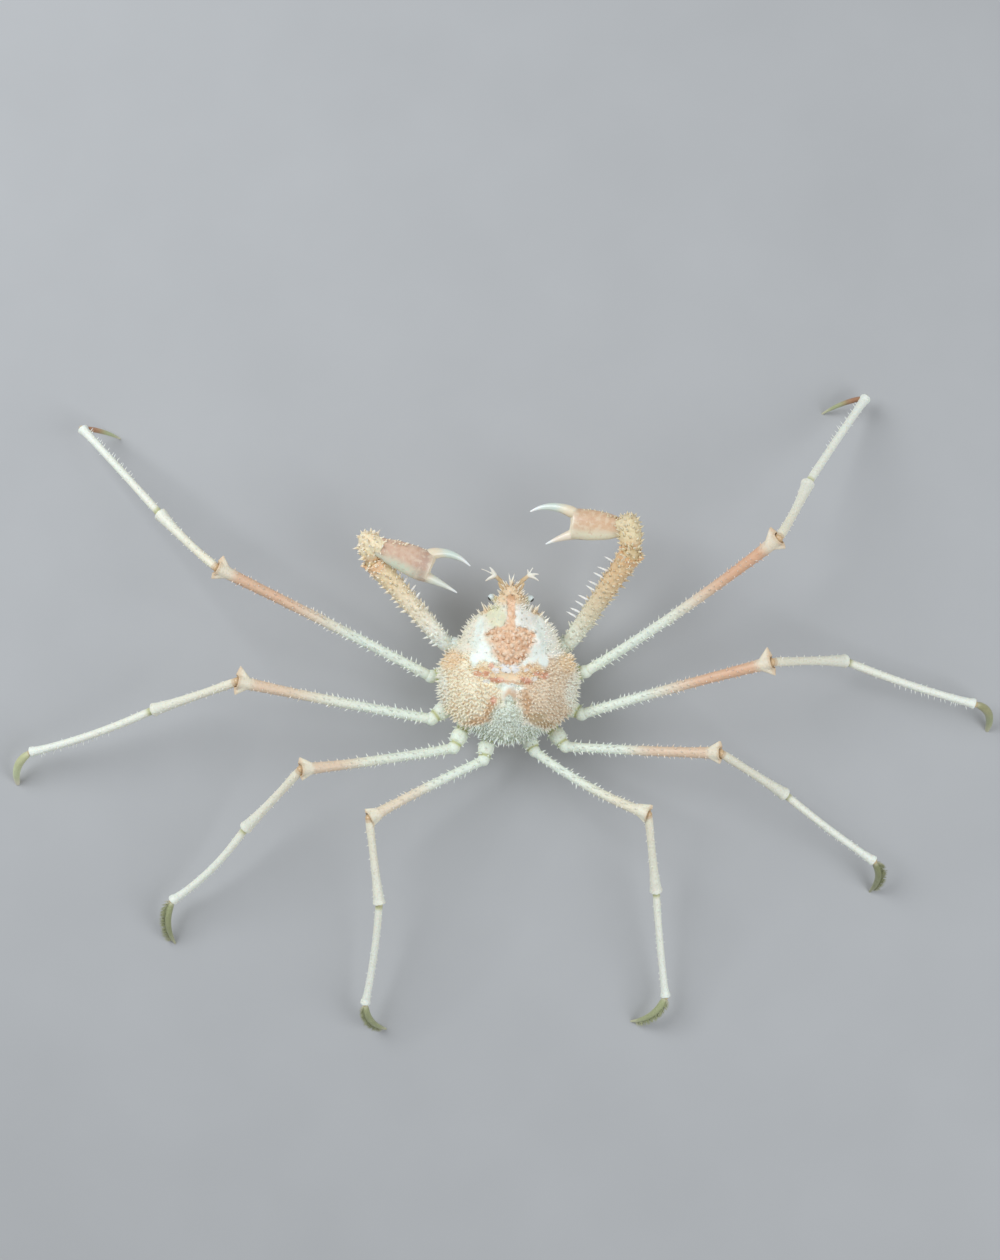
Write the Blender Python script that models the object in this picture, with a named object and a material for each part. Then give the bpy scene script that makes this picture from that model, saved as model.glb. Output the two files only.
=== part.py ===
"""Spiny long-legged spider crab, life size, standing still on its eight walking legs.

Everything is worked out in millimetres in the crab's own frame: its head points along +y, its back
faces +z, and side "l" is its left, at -x. The last step moves the middle of its footprint to the
origin and shrinks the whole to metres.
"""

import math

import bmesh
import bpy
from mathutils import Matrix, Vector

# Scale and meeting faces
MILLIMETRE = 0.001
GAP = 0.3
# The shoulder narrows where the claws leave the body, so they are cut a little further off it
CLAW_GAP = 0.42
SIDES = (("l", -1), ("r", 1))

# Body: y, half width, top of the back, underside
BODY_STATIONS = (
    (40.5, 0.0, 34.6, 33.6),
    (38.3, 3.4, 36.2, 30.5),
    (34.5, 6.0, 37.2, 26.5),
    (31.0, 8.2, 37.8, 23.0),
    (28.6, 12.8, 38.2, 20.5),
    (22.4, 18.6, 39.4, 16.0),
    (17.5, 20.8, 40.4, 14.0),
    (14.2, 22.0, 41.0, 12.8),
    (11.4, 25.8, 41.6, 12.4),
    (6.0, 28.8, 42.0, 12.0),
    (-3.4, 29.6, 42.0, 12.0),
    (-10.0, 28.0, 41.0, 12.0),
    (-16.5, 23.2, 39.0, 13.0),
    (-23.0, 12.2, 34.0, 17.0),
    (-26.6, 0.0, 27.0, 25.0),
)
BODY_RINGS = 30
BODY_SEGMENTS = 36
EDGE_LEVEL = 0.42
SIDE_SQUARENESS = 0.85
BACK_SQUARENESS = 0.9
BODY_HEART = 24.0
SHELL_SPLIT = 23.0

# Swellings of the back: x, y, height, reach across, reach along
LOBES = (
    (0.0, 13.5, 4.2, 8.5, 8.5),
    (0.0, -4.0, 2.0, 4.5, 4.5),
    (0.0, -14.0, 3.0, 4.5, 5.0),
    (15.0, -6.0, 3.6, 8.0, 10.0),
    (13.0, 17.0, 1.6, 4.5, 5.0),
)

# Spines of the shell: tip and length, each one mirrored
SHELL_SPINES = (
    ((1.4, 45.6, 36.5), 6.5),
    ((9.4, 32.4, 37.5), 4.5),
    ((12.7, 32.6, 35.5), 6.0),
    ((16.8, 27.0, 34.5), 5.0),
    ((19.4, 22.6, 33.0), 4.5),
    ((6.0, 38.0, 39.5), 3.5),
    ((5.0, -28.5, 33.5), 5.5),
    ((12.0, -26.0, 33.0), 4.5),
)
SHELL_SPINE_RADIUS = 0.7

# Smaller spines spread over the shell: how many a whole body would have, their length and radius,
# the height below which there are none, and how far they keep from the eyes and the antennae
SHELL_SCATTER = 300
SHELL_SCATTER_LENGTH = 2.0
SHELL_SCATTER_RADIUS = 0.55
SHELL_SCATTER_FLOOR = 26.0
EYE_CLEARING = 4.0
ANTENNA_CLEARING = 5.0
GOLDEN_TURN = math.pi * (3 - math.sqrt(5))

# Legs: lengths of merus, carpus, propodus and dactylus, and the root of the coxa on the thorax
LEG_LENGTHS = {
    2: (103.1, 38.6, 57.6, 20.4),
    3: (85.7, 45.9, 60.1, 21.3),
    4: (69.1, 41.7, 50.3, 23.8),
    5: (56.1, 38.6, 49.1, 21.9),
}
COXA_ROOTS = {
    1: (18.0, 12.5, 17.5),
    2: (20.0, 2.5, 18.0),
    3: (20.0, -8.0, 18.0),
    4: (16.5, -17.0, 18.0),
    5: (7.0, -21.0, 20.0),
}

# Pose of each leg: hip, headings of the four links and pitches of the first three in degrees,
# and how far the middle of each link bows to the left of its way
LEG_POSE = {
    (2, "l"): (
        (-33.3, 0.5, 23.8),
        (154.2, 140.3, 136.1, -9.9),
        (16.8, -25.6, -22.2),
        (-0.4, 0.6, -0.1, 0.9),
    ),
    (2, "r"): (
        (33.0, 4.6, 24.3),
        (37.4, 58.6, 54.8, -159.6),
        (22.8, -41.8, -31.2),
        (-1.6, -0.6, 0.2, -1.0),
    ),
    (3, "l"): (
        (-32.6, -17.8, 21.9),
        (169.9, -160.0, -159.4, -119.6),
        (17.6, -28.4, -12.6),
        (0.4, 0.2, 1.4, -2.4),
    ),
    (3, "r"): (
        (32.0, -13.7, 22.1),
        (18.0, 1.9, -16.4, -51.1),
        (18.7, -39.7, -5.0),
        (0.5, 0.3, -1.0, 3.2),
    ),
    (4, "l"): (
        (-22.7, -30.0, 21.7),
        (-171.6, -132.3, -133.8, -90.8),
        (23.7, -29.0, -19.8),
        (0.6, 0.3, 2.2, -2.2),
    ),
    (4, "r"): (
        (25.5, -27.8, 22.3),
        (0.7, -30.6, -35.0, -82.5),
        (23.1, -32.4, -10.4),
        (-0.4, 0.1, -0.6, 2.4),
    ),
    (5, "l"): (
        (-9.6, -34.7, 24.0),
        (-152.4, -82.6, -97.0, -58.0),
        (18.7, -15.3, -20.2),
        (-0.6, 0.0, 0.8, -2.4),
    ),
    (5, "r"): (
        (12.3, -30.3, 24.0),
        (-26.4, -80.8, -82.2, -136.1),
        (16.1, -25.6, -14.5),
        (-2.0, -0.1, -0.3, 2.4),
    ),
}

# Radii along each link of a leg, from its near joint to its far one
BASE_RADII = (4.0, 4.2, 3.6)
MERUS_RADII = (2.5, 2.3, 2.2, 2.2, 2.3, 2.9)
CARPUS_RADII = (1.9, 1.9, 1.9, 2.1, 2.8)
PROPODUS_RADII = (2.0, 1.9, 1.8, 1.9, 2.2)
DACTYLUS_RADII = (1.7, 1.9, 1.9, 1.7, 1.4, 1.1)
DACTYLUS_ARCH = 2.5
TOE_OVERRUN = 1.5
LEG_THICKNESS = {2: 1.0, 3: 1.0, 4: 0.97, 5: 0.92}
LINK_SIDES = 8
OVERRUN = 4.0

# Spines of the legs: how many on each link, their length and radius at the root
BASE_SPINES = (5, 1.4, 0.5)
MERUS_SPINES = (18, 1.5, 0.45)
CARPUS_SPINES = (4, 1.0, 0.45)
# Where on a link its spines start and end, how they crowd towards the body, and how they lean
SPINES_FROM = 0.07
SPINES_OVER = 0.86
SPINES_CROWDING = 1.2
SPINE_LEAN = 0.25
# The comb of the far half of each propodus: on the side of the head in the front legs, and on the
# side of the tail in the others
FRONT_LEG = 2
COMB_SPINES = 6
COMB_FROM = 0.45
COMB_OVER = 0.45
COMB_DROOP = 0.4
COMB_LENGTH = 1.9
COMB_RADIUS = 0.4
# The pair of teeth at the end of each merus and the pair of knobs at the end of each carpus
TOOTH_PLACE = 0.97
TOOTH_LENGTHS = {2: 2.9, 3: 3.7, 4: 2.3, 5: 1.5}
HIND_TOOTH = 0.75
TOOTH_RADIUS = 2.1
KNOB_PLACE = 0.95
KNOB_LENGTH = 1.3
KNOB_RADIUS = 1.3

# Claws: hip, knee, far end of the carpus, wrist and far end of the palm
CLAW_POSE = {
    "l": (
        (-27.6, 14.8, 22.0),
        (-58.2, 48.6, 38.0),
        (-61.0, 58.6, 44.0),
        (-54.2, 54.0, 44.5),
        (-34.8, 46.6, 39.5),
    ),
    "r": (
        (26.2, 17.4, 22.0),
        (49.4, 54.4, 45.0),
        (48.8, 70.6, 45.0),
        (43.9, 65.8, 43.5),
        (25.1, 67.0, 40.0),
    ),
}
# The opening finger and the fixed thumb: root, bend and tip
FINGER_PATH = {
    "l": ((-36.5, 51.6, 39.8), (-26.0, 55.5, 38.5), (-17.7, 48.0, 36.5)),
    "r": ((27.0, 70.6, 40.0), (16.0, 76.5, 39.0), (7.1, 71.7, 37.0)),
}
THUMB_PATH = {
    "l": ((-38.0, 43.6, 40.0), (-30.0, 40.6, 38.0), (-22.8, 36.5, 36.0)),
    "r": ((28.5, 63.4, 40.0), (20.5, 61.4, 38.5), (13.9, 58.1, 37.0)),
}
CLAW_BASE_THICKNESS = 1.05
CLAW_MERUS_RADII = (3.8, 3.8, 3.9, 4.0, 4.4)
CLAW_CARPUS_RADII = (4.2, 5.0, 5.2, 4.6, 2.6)
CARPUS_OVERRUN = 1.0
PALM_RADII = (4.6, 5.9, 6.8, 6.8, 5.6)
PALM_OVERRUN = 1.5
PALM_FLATNESS = 0.58
FINGER_RADII = (2.6, 2.5, 2.1, 1.5, 0.9, 0.4)
THUMB_RADII = (3.4, 2.9, 2.2, 1.5, 0.9, 0.4)
CLAW_MERUS_SPINES = (38, 1.7, 0.55)
CLAW_CARPUS_SPINES = (18, 1.9, 0.6)
# The long spines along the inner edge of each claw's merus and the low ones on the crest of its palm
LONG_SPINES = 7
LONG_SPINES_FROM = 0.3
LONG_SPINES_OVER = 0.6
LONG_SPINES_LIFT = 0.3
LONG_SPINE_LENGTH = 4.6
LONG_SPINE_RADIUS = 0.5
PALM_SPINES = 6
PALM_SPINES_FROM = 0.15
PALM_SPINES_OVER = 0.6
PALM_SPINE_LENGTH = 1.3
PALM_SPINE_RADIUS = 0.5

# Head
EYE_PLACE = (8.6, 35.0, 31.5)
EYE_RADIUS = 1.6
EYE_STALK_ROOT = (4.6, 34.0, 31.0)
EYE_STALK_RADIUS = 1.1
ANTENNA_STALK = ((2.0, 37.5, 29.0), (3.4, 41.0, 29.0), (5.8, 43.4, 28.8), (6.8, 44.2, 28.8))
ANTENNA_RADII = (1.4, 1.5, 1.2, 0.8)
ANTENNA_REACH = {"l": 1.0, "r": 1.2}
ANTENNA_PRONGS = ((1.8, 3.2, 0.5), (4.6, -2.2, -0.3), (5.2, 2.0, 0.3))
PRONG_RADIUS = 0.6
ANTENNULE_STALK = ((2.2, 37.0, 32.4), (4.2, 39.5, 32.4), (5.2, 41.2, 32.6))
ANTENNULE_RADII = (0.9, 0.9, 0.5)

# Underside
PLEON_CENTRE = (0.0, -13.0, 15.5)
PLEON_RADII = (8.0, 15.5, 6.0)
MAXILLIPED_CENTRE = (3.2, 24.0, 19.5)
MAXILLIPED_RADII = (3.8, 8.5, 5.2)

FINISHES = {
    "shell": ((0.85, 0.55, 0.36), 0.55),
    "underside": ((0.88, 0.80, 0.66), 0.5),
    "leg": ((0.86, 0.80, 0.64), 0.5),
    "claw": ((0.88, 0.60, 0.42), 0.5),
    "ivory": ((0.90, 0.86, 0.76), 0.35),
    "toe": ((0.58, 0.61, 0.32), 0.6),
    "eye": ((0.76, 0.74, 0.68), 0.2),
    "horn": ((0.62, 0.45, 0.24), 0.5),
}


def clear_scene():
    """Empty the scene that the script runs in."""
    for obj in list(bpy.data.objects):
        bpy.data.objects.remove(obj)


def finish_named(name):
    """The material of one finish, made the first time it is asked for."""
    if name in bpy.data.materials:
        return bpy.data.materials[name]
    colour, roughness = FINISHES[name]
    material = bpy.data.materials.new(name)
    material.use_nodes = True
    principled = material.node_tree.nodes["Principled BSDF"]
    principled.inputs["Base Color"].default_value = (*colour, 1.0)
    principled.inputs["Roughness"].default_value = roughness
    principled.inputs["Metallic"].default_value = 0.0
    return material


def mirrored(point, sign):
    """A point of the right side, or its mirror image on the left."""
    return Vector((point[0] * sign, point[1], point[2]))


def aim(heading, pitch):
    """Unit vector of a heading and a pitch in degrees."""
    turn, rise = math.radians(heading), math.radians(pitch)
    return Vector((math.cos(rise) * math.cos(turn), math.cos(rise) * math.sin(turn), math.sin(rise)))


def smooth_value(knots, values, at):
    """Cubic curve through the values at rising knots."""
    last = len(knots) - 1
    i = max(0, min(last - 1, sum(1 for k in knots[1:last] if k <= at)))

    def slope(j):
        low, high = max(0, j - 1), min(last, j + 1)
        return (values[high] - values[low]) / (knots[high] - knots[low])

    width = knots[i + 1] - knots[i]
    t = (at - knots[i]) / width
    return (
        values[i] * (1 + 2 * t) * (1 - t) ** 2
        + values[i + 1] * t * t * (3 - 2 * t)
        + slope(i) * width * t * (1 - t) ** 2
        - slope(i + 1) * width * t * t * (1 - t)
    )


def curve_through(points, count):
    """Points spread along the quadratic curve of three points, or along the straight line of two."""
    points = [Vector(p) for p in points]
    if len(points) == 2:
        points.insert(1, (points[0] + points[1]) / 2)
    start, bend, end = points
    steps = [i / (count - 1) for i in range(count)]
    return [start * (1 - t) ** 2 + bend * 2 * t * (1 - t) + end * t * t for t in steps]


def mesh_object(name, bm, collection):
    """Turn a bmesh into an object of a collection."""
    mesh = bpy.data.meshes.new(name)
    bm.to_mesh(mesh)
    bm.free()
    obj = bpy.data.objects.new(name, mesh)
    collection.objects.link(obj)
    return obj


class Workshop:
    """The collections that hold the finished parts and the pieces being joined."""

    def __init__(self):
        self.crab = bpy.data.collections.new("spider_crab")
        self.bench = bpy.data.collections.new("bench")
        for collection in (self.crab, self.bench):
            bpy.context.scene.collection.children.link(collection)

    def tube(self, points, radii, sides=LINK_SIDES):
        """A round rod along points, its radius changing from one to the next."""
        curve = bpy.data.curves.new("rod", "CURVE")
        curve.dimensions = "3D"
        curve.bevel_depth = 1.0
        curve.bevel_resolution = sides // 2 - 2
        curve.use_fill_caps = True
        spline = curve.splines.new("POLY")
        spline.points.add(len(points) - 1)
        for knot, point, radius in zip(spline.points, points, radii):
            knot.co = (*point, 1.0)
            knot.radius = radius
        rod = bpy.data.objects.new("rod", curve)
        self.bench.objects.link(rod)
        bpy.context.view_layer.update()
        evaluated = rod.evaluated_get(bpy.context.evaluated_depsgraph_get())
        bm = bmesh.new()
        bm.from_mesh(bpy.data.meshes.new_from_object(evaluated))
        bpy.data.objects.remove(rod)
        bmesh.ops.remove_doubles(bm, verts=bm.verts, dist=0.0001)
        bmesh.ops.recalc_face_normals(bm, faces=bm.faces)
        return mesh_object("rod", bm, self.bench)

    def ball(self, centre, radii, segments=12, rings=8):
        """An egg of three radii."""
        bm = bmesh.new()
        place = Matrix.Translation(centre) @ Matrix.Diagonal((*radii, 1.0))
        bmesh.ops.create_uvsphere(bm, u_segments=segments, v_segments=rings, radius=1.0, matrix=place)
        return mesh_object("ball", bm, self.bench)

    def spine(self, root, tip, radius, sides=3, sink=0.8):
        """A tapering spine whose root is sunk into what carries it."""
        root, tip = Vector(root), Vector(tip)
        along = (tip - root).normalized()
        foot = root - along * sink
        turned = along.to_track_quat("Z", "Y").to_matrix().to_4x4()
        bm = bmesh.new()
        bmesh.ops.create_cone(
            bm, cap_ends=True, segments=sides, radius1=radius, radius2=0.0, depth=(tip - foot).length,
            matrix=Matrix.Translation((foot + tip) / 2) @ turned
        )
        return mesh_object("spine", bm, self.bench)

    def join(self, base, pieces, solver="EXACT"):
        """Fuse pieces into the base with one union, and let the pieces go."""
        if not pieces:
            return base
        group = bpy.data.collections.new("pieces")
        self.bench.children.link(group)
        for piece in pieces:
            group.objects.link(piece)
        modifier = base.modifiers.new("fuse", "BOOLEAN")
        modifier.operation = "UNION"
        modifier.operand_type = "COLLECTION"
        modifier.collection = group
        modifier.solver = solver
        self.settle(base)
        for piece in pieces:
            bpy.data.objects.remove(piece)
        bpy.data.collections.remove(group)
        return base

    def carve(self, obj, cutter, solver="EXACT"):
        """Cut the shape of the cutter out of the object."""
        modifier = obj.modifiers.new("carve", "BOOLEAN")
        modifier.operation = "DIFFERENCE"
        modifier.object = cutter
        modifier.solver = solver
        self.settle(obj)
        return obj

    def settle(self, obj):
        """Apply the modifiers of an object to its mesh."""
        bpy.context.view_layer.update()
        evaluated = obj.evaluated_get(bpy.context.evaluated_depsgraph_get())
        mesh = bpy.data.meshes.new_from_object(evaluated)
        obj.modifiers.clear()
        obj.data = mesh

    def node(self, obj, name, finish, planes=()):
        """Trim an object at its joint planes and keep it as the named sub-part."""
        bm = bmesh.new()
        bm.from_mesh(obj.data)
        for point, normal in planes:
            trim(bm, point, normal)
        keep_largest(bm)
        bm.to_mesh(obj.data)
        bm.free()
        obj.name = name
        obj.data.name = name
        obj.data.materials.clear()
        obj.data.materials.append(finish_named(finish))
        obj.data.shade_smooth()
        obj.data.set_sharp_from_angle(angle=math.radians(40))
        self.bench.objects.unlink(obj)
        self.crab.objects.link(obj)
        return obj


def trim(bm, point, normal):
    """Cut away what lies beyond a plane and close the cut with a flat face."""
    cut = bmesh.ops.bisect_plane(
        bm, geom=bm.verts[:] + bm.edges[:] + bm.faces[:], dist=0.0001, plane_co=point, plane_no=normal,
        clear_outer=True
    )
    rim = [e for e in cut["geom_cut"] if isinstance(e, bmesh.types.BMEdge)]
    filled = bmesh.ops.triangle_fill(bm, edges=rim, use_beauty=True, use_dissolve=False, normal=normal)
    for face in filled["geom"]:
        if isinstance(face, bmesh.types.BMFace) and face.normal.dot(normal) < 0:
            face.normal_flip()


def keep_largest(bm):
    """Keep only the largest closed surface of a mesh."""
    shells = []
    waiting = set(bm.faces)
    while waiting:
        shell = {waiting.pop()}
        front = list(shell)
        while front:
            for edge in front.pop().edges:
                for face in edge.link_faces:
                    if face in waiting:
                        waiting.remove(face)
                        shell.add(face)
                        front.append(face)
        shells.append(shell)
    largest = max(shells, key=len)
    scraps = [f for shell in shells if shell is not largest for f in shell]
    bmesh.ops.delete(bm, geom=scraps, context="FACES")


def relief(x, y):
    """Height that the swellings add to the back."""
    height = 0.0
    for cx, cy, rise, across, along in LOBES:
        for centre in {cx, -cx}:
            height += rise * math.exp(-(((x - centre) / across) ** 2) - ((y - cy) / along) ** 2)
    return height


def body_point(lengthwise, around, grow=0.0):
    """Point of the body's surface: lengthwise from head (0) to tail (pi), around from its right edge."""
    front, back = BODY_STATIONS[0][0], BODY_STATIONS[-1][0]
    middle, half = (front + back) / 2, (front - back) / 2
    knots = [math.acos(max(-1.0, min(1.0, (s[0] - middle) / half))) for s in BODY_STATIONS]
    width, top, bottom = (smooth_value(knots, [s[i] for s in BODY_STATIONS], lengthwise) for i in (1, 2, 3))
    edge = bottom + EDGE_LEVEL * (top - bottom)
    c, s = math.cos(around), math.sin(around)
    x = (width + grow) * math.copysign(abs(c) ** SIDE_SQUARENESS, c)
    y = middle + (half + grow) * math.cos(lengthwise)
    rise = abs(s) ** BACK_SQUARENESS
    if s > 0:
        z = edge + (top - edge + grow + relief(x, y)) * rise
    else:
        z = edge - (edge - bottom + grow) * rise
    return Vector((x, y, z))


def body_normal(lengthwise, around):
    """Outward direction of the body's surface."""
    step = 0.01
    along = body_point(lengthwise + step, around) - body_point(lengthwise - step, around)
    across = body_point(lengthwise, around + step) - body_point(lengthwise, around - step)
    normal = across.cross(along).normalized()
    centre = Vector((0.0, body_point(lengthwise, around).y, BODY_HEART))
    return normal if normal.dot(body_point(lengthwise, around) - centre) > 0 else -normal


def body_solid(shop, grow=0.0):
    """The closed form of the whole body: a sphere with its poles at head and tail, drawn out."""
    bm = bmesh.new()
    bmesh.ops.create_uvsphere(bm, u_segments=BODY_SEGMENTS, v_segments=BODY_RINGS, radius=1.0)
    for vert in bm.verts:
        lengthwise = math.acos(max(-1.0, min(1.0, vert.co.z)))
        around = math.atan2(-vert.co.y, vert.co.x)
        vert.co = body_point(lengthwise, around, grow)
    return mesh_object("body", bm, shop.bench)


def long_shell_spines(shop):
    """The long spines of the shell, each reaching out from the nearest place on it."""
    steps = 60
    turns = [math.pi * i / steps for i in range(steps + 1)]
    grid = [body_point(lengthwise, around) for lengthwise in turns[1:-1] for around in turns]
    spines = []
    for tip, length in SHELL_SPINES:
        for _, sign in SIDES:
            end = mirrored(tip, sign)
            nearest = min(grid, key=lambda p: (p - end).length)
            inward = (nearest - end).normalized()
            spines.append(shop.spine(end + inward * length, end, SHELL_SPINE_RADIUS, sides=4))
    return spines


def beside_feelers(point):
    """Whether a point lies where an eye or an antenna needs room."""
    for _, sign in SIDES:
        if (point - mirrored(EYE_PLACE, sign)).length < EYE_CLEARING:
            return True
        if (point - mirrored(ANTENNA_STALK[1], sign)).length < ANTENNA_CLEARING:
            return True
    return False


def small_shell_spines(shop):
    """Small spines spread evenly over the back and sides of the shell."""
    spines = []
    for i in range(SHELL_SCATTER):
        lengthwise = math.acos(1 - 2 * (i + 0.5) / SHELL_SCATTER)
        around = (i * GOLDEN_TURN) % (2 * math.pi)
        root = body_point(lengthwise, around)
        if root.z > SHELL_SCATTER_FLOOR and not beside_feelers(root):
            tip = root + body_normal(lengthwise, around) * SHELL_SCATTER_LENGTH
            spines.append(shop.spine(root, tip, SHELL_SCATTER_RADIUS))
    return spines


def build_body(shop):
    """Shell above, thorax below, with a level gap between them."""
    cut = Vector((0, 0, SHELL_SPLIT))
    up = Vector((0, 0, 1))
    shell = shop.join(body_solid(shop), long_shell_spines(shop) + small_shell_spines(shop))
    shop.node(shell, "carapace", "shell", [(cut + up * GAP / 2, -up)])
    shop.node(body_solid(shop), "thorax", "underside", [(cut - up * GAP / 2, up)])


def joint_plane(point, before, after):
    """Plane that halves the bend between two links."""
    return Vector(point), (before + after).normalized()


def along_link(start, end, bow, t):
    """Point at a share t of the way along a link, whose middle bows to the left of its way."""
    start, end = Vector(start), Vector(end)
    left = Vector((0, 0, 1)).cross(end - start).normalized()
    return start.lerp(end, t) + left * (bow * 4 * t * (1 - t))


def link(shop, start, end, radii, thickness=1.0, bow=0.0, overrun=OVERRUN):
    """A link whose ends run past its joints, to be trimmed there."""
    count = len(radii)
    points = [along_link(start, end, bow, i / (count - 1)) for i in range(count)]
    points.insert(0, points[0] - (points[1] - points[0]).normalized() * overrun)
    points.append(points[-1] + (points[-1] - points[-2]).normalized() * overrun)
    sizes = [radii[0], *radii, radii[-1]]
    return shop.tube(points, [r * thickness for r in sizes])


def radius_at(radii, t):
    """Radius at a share t of the way along a link."""
    place = t * (len(radii) - 1)
    i = min(int(place), len(radii) - 2)
    return radii[i] + (radii[i + 1] - radii[i]) * (place - i)


def spine_on_link(shop, start, end, radii, bow, t, outward, length, radius, sides=3):
    """One spine on a link, at a share t along it, leaning a little towards its far end."""
    centre = along_link(start, end, bow, t)
    along = (Vector(end) - Vector(start)).normalized()
    outward = (outward - along * outward.dot(along)).normalized()
    root = centre + outward * radius_at(radii, t) * math.cos(math.pi / LINK_SIDES)
    return shop.spine(root, root + (outward + along * SPINE_LEAN).normalized() * length, radius, sides)


def scattered_spines(shop, start, end, radii, bow, spines):
    """Spines wound round a link by the golden angle, closer together near the body."""
    count, length, radius = spines
    along = (Vector(end) - Vector(start)).normalized()
    side = Vector((0, 0, 1)).cross(along).normalized()
    above = along.cross(side)
    made = []
    for i in range(count):
        t = SPINES_FROM + SPINES_OVER * ((i + 0.5) / count) ** SPINES_CROWDING
        turn = i * GOLDEN_TURN
        outward = side * math.cos(turn) + above * math.sin(turn)
        made.append(spine_on_link(shop, start, end, radii, bow, t, outward, length, radius))
    return made


def near_side(plane):
    """Half of the gap before a joint plane: what lies past it is cut away."""
    point, normal = plane
    return point - normal * GAP / 2, normal


def far_side(plane):
    """Half of the gap after a joint plane: what lies before it is cut away."""
    point, normal = plane
    return point + normal * GAP / 2, -normal


def leg_joints(number, side):
    """Joints of a leg from hip to toe."""
    hip, headings, pitches, _ = LEG_POSE[number, side]
    lengths = LEG_LENGTHS[number]
    joints = [Vector(hip)]
    for heading, pitch, length in zip(headings, pitches, lengths):
        joints.append(joints[-1] + aim(heading, pitch) * length)
    ankle = joints[-1]
    reach = math.sqrt(lengths[3] ** 2 - ankle.z**2)
    joints.append(ankle + aim(headings[3], 0.0) * reach - Vector((0, 0, ankle.z)))
    return joints


def build_leg(shop, number, side, sign, body_cutter):
    """One walking leg: coxa and ischium in one base, then merus, carpus, propodus and dactylus."""
    name = f"leg{number}_{side}_"
    size = LEG_THICKNESS[number]
    bows = LEG_POSE[number, side][3]
    root = mirrored(COXA_ROOTS[number], sign)
    joints = leg_joints(number, side)
    chain = [root, *joints]
    ways = [(b - a).normalized() for a, b in zip(chain, chain[1:])]
    planes = [joint_plane(p, a, b) for p, a, b in zip(joints, ways, ways[1:])]
    hip, knee, shin, ankle, toe = joints

    base_radii = [r * size for r in BASE_RADII]
    base = link(shop, root, hip, base_radii)
    shop.join(base, scattered_spines(shop, root.lerp(hip, 0.5), hip, base_radii, 0.0, BASE_SPINES))
    shop.carve(base, body_cutter)
    shop.node(base, name + "base", "leg", [near_side(planes[0])])

    merus_radii = [r * size for r in MERUS_RADII]
    merus = link(shop, hip, knee, merus_radii, bow=bows[0])
    thorns = scattered_spines(shop, hip, knee, merus_radii, bows[0], MERUS_SPINES)
    front = Vector((0, 0, 1)).cross(knee - hip) * sign
    for outward, share in ((front, 1.0), (-front, HIND_TOOTH)):
        length = TOOTH_LENGTHS[number] * share
        tooth = spine_on_link(
            shop, hip, knee, merus_radii, bows[0], TOOTH_PLACE, outward, length, TOOTH_RADIUS, 4
        )
        thorns.append(tooth)
    shop.join(merus, thorns)
    shop.carve(merus, body_cutter)
    shop.node(merus, name + "merus", "leg", [far_side(planes[0]), near_side(planes[1])])

    carpus_radii = [r * size for r in CARPUS_RADII]
    carpus = link(shop, knee, shin, carpus_radii, bow=bows[1])
    thorns = scattered_spines(shop, knee, shin, carpus_radii, bows[1], CARPUS_SPINES)
    level = Vector((0, 0, 1)).cross(shin - knee)
    for outward in (level, -level):
        knob = spine_on_link(
            shop, knee, shin, carpus_radii, bows[1], KNOB_PLACE, outward, KNOB_LENGTH, KNOB_RADIUS, 4
        )
        thorns.append(knob)
    shop.join(carpus, thorns)
    shop.node(carpus, name + "carpus", "ivory", [far_side(planes[1]), near_side(planes[2])])

    propodus_radii = [r * size for r in PROPODUS_RADII]
    propodus = link(shop, shin, ankle, propodus_radii, bow=bows[2])
    level = Vector((0, 0, 1)).cross(ankle - shin) * (sign if number == FRONT_LEG else -sign)
    outward = level - Vector((0, 0, level.length * COMB_DROOP))
    comb = []
    for i in range(COMB_SPINES):
        t = COMB_FROM + COMB_OVER * i / (COMB_SPINES - 1)
        comb.append(
            spine_on_link(shop, shin, ankle, propodus_radii, bows[2], t, outward, COMB_LENGTH, COMB_RADIUS)
        )
    shop.join(propodus, comb)
    shop.node(propodus, name + "propodus", "ivory", [far_side(planes[2]), near_side(planes[3])])

    bend = along_link(ankle, toe, 2 * bows[3], 0.5) + Vector((0, 0, 2 * DACTYLUS_ARCH))
    points = curve_through((ankle, bend, toe), len(DACTYLUS_RADII))
    points.insert(0, ankle - ways[4] * OVERRUN)
    points.append(toe + (points[-1] - points[-2]).normalized() * TOE_OVERRUN)
    sizes = [DACTYLUS_RADII[0], *DACTYLUS_RADII, DACTYLUS_RADII[-1]]
    dactylus = shop.tube(points, [r * size for r in sizes])
    floor = (Vector((0, 0, 0)), Vector((0, 0, -1)))
    shop.node(dactylus, name + "dactylus", "toe", [far_side(planes[3]), floor])


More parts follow.
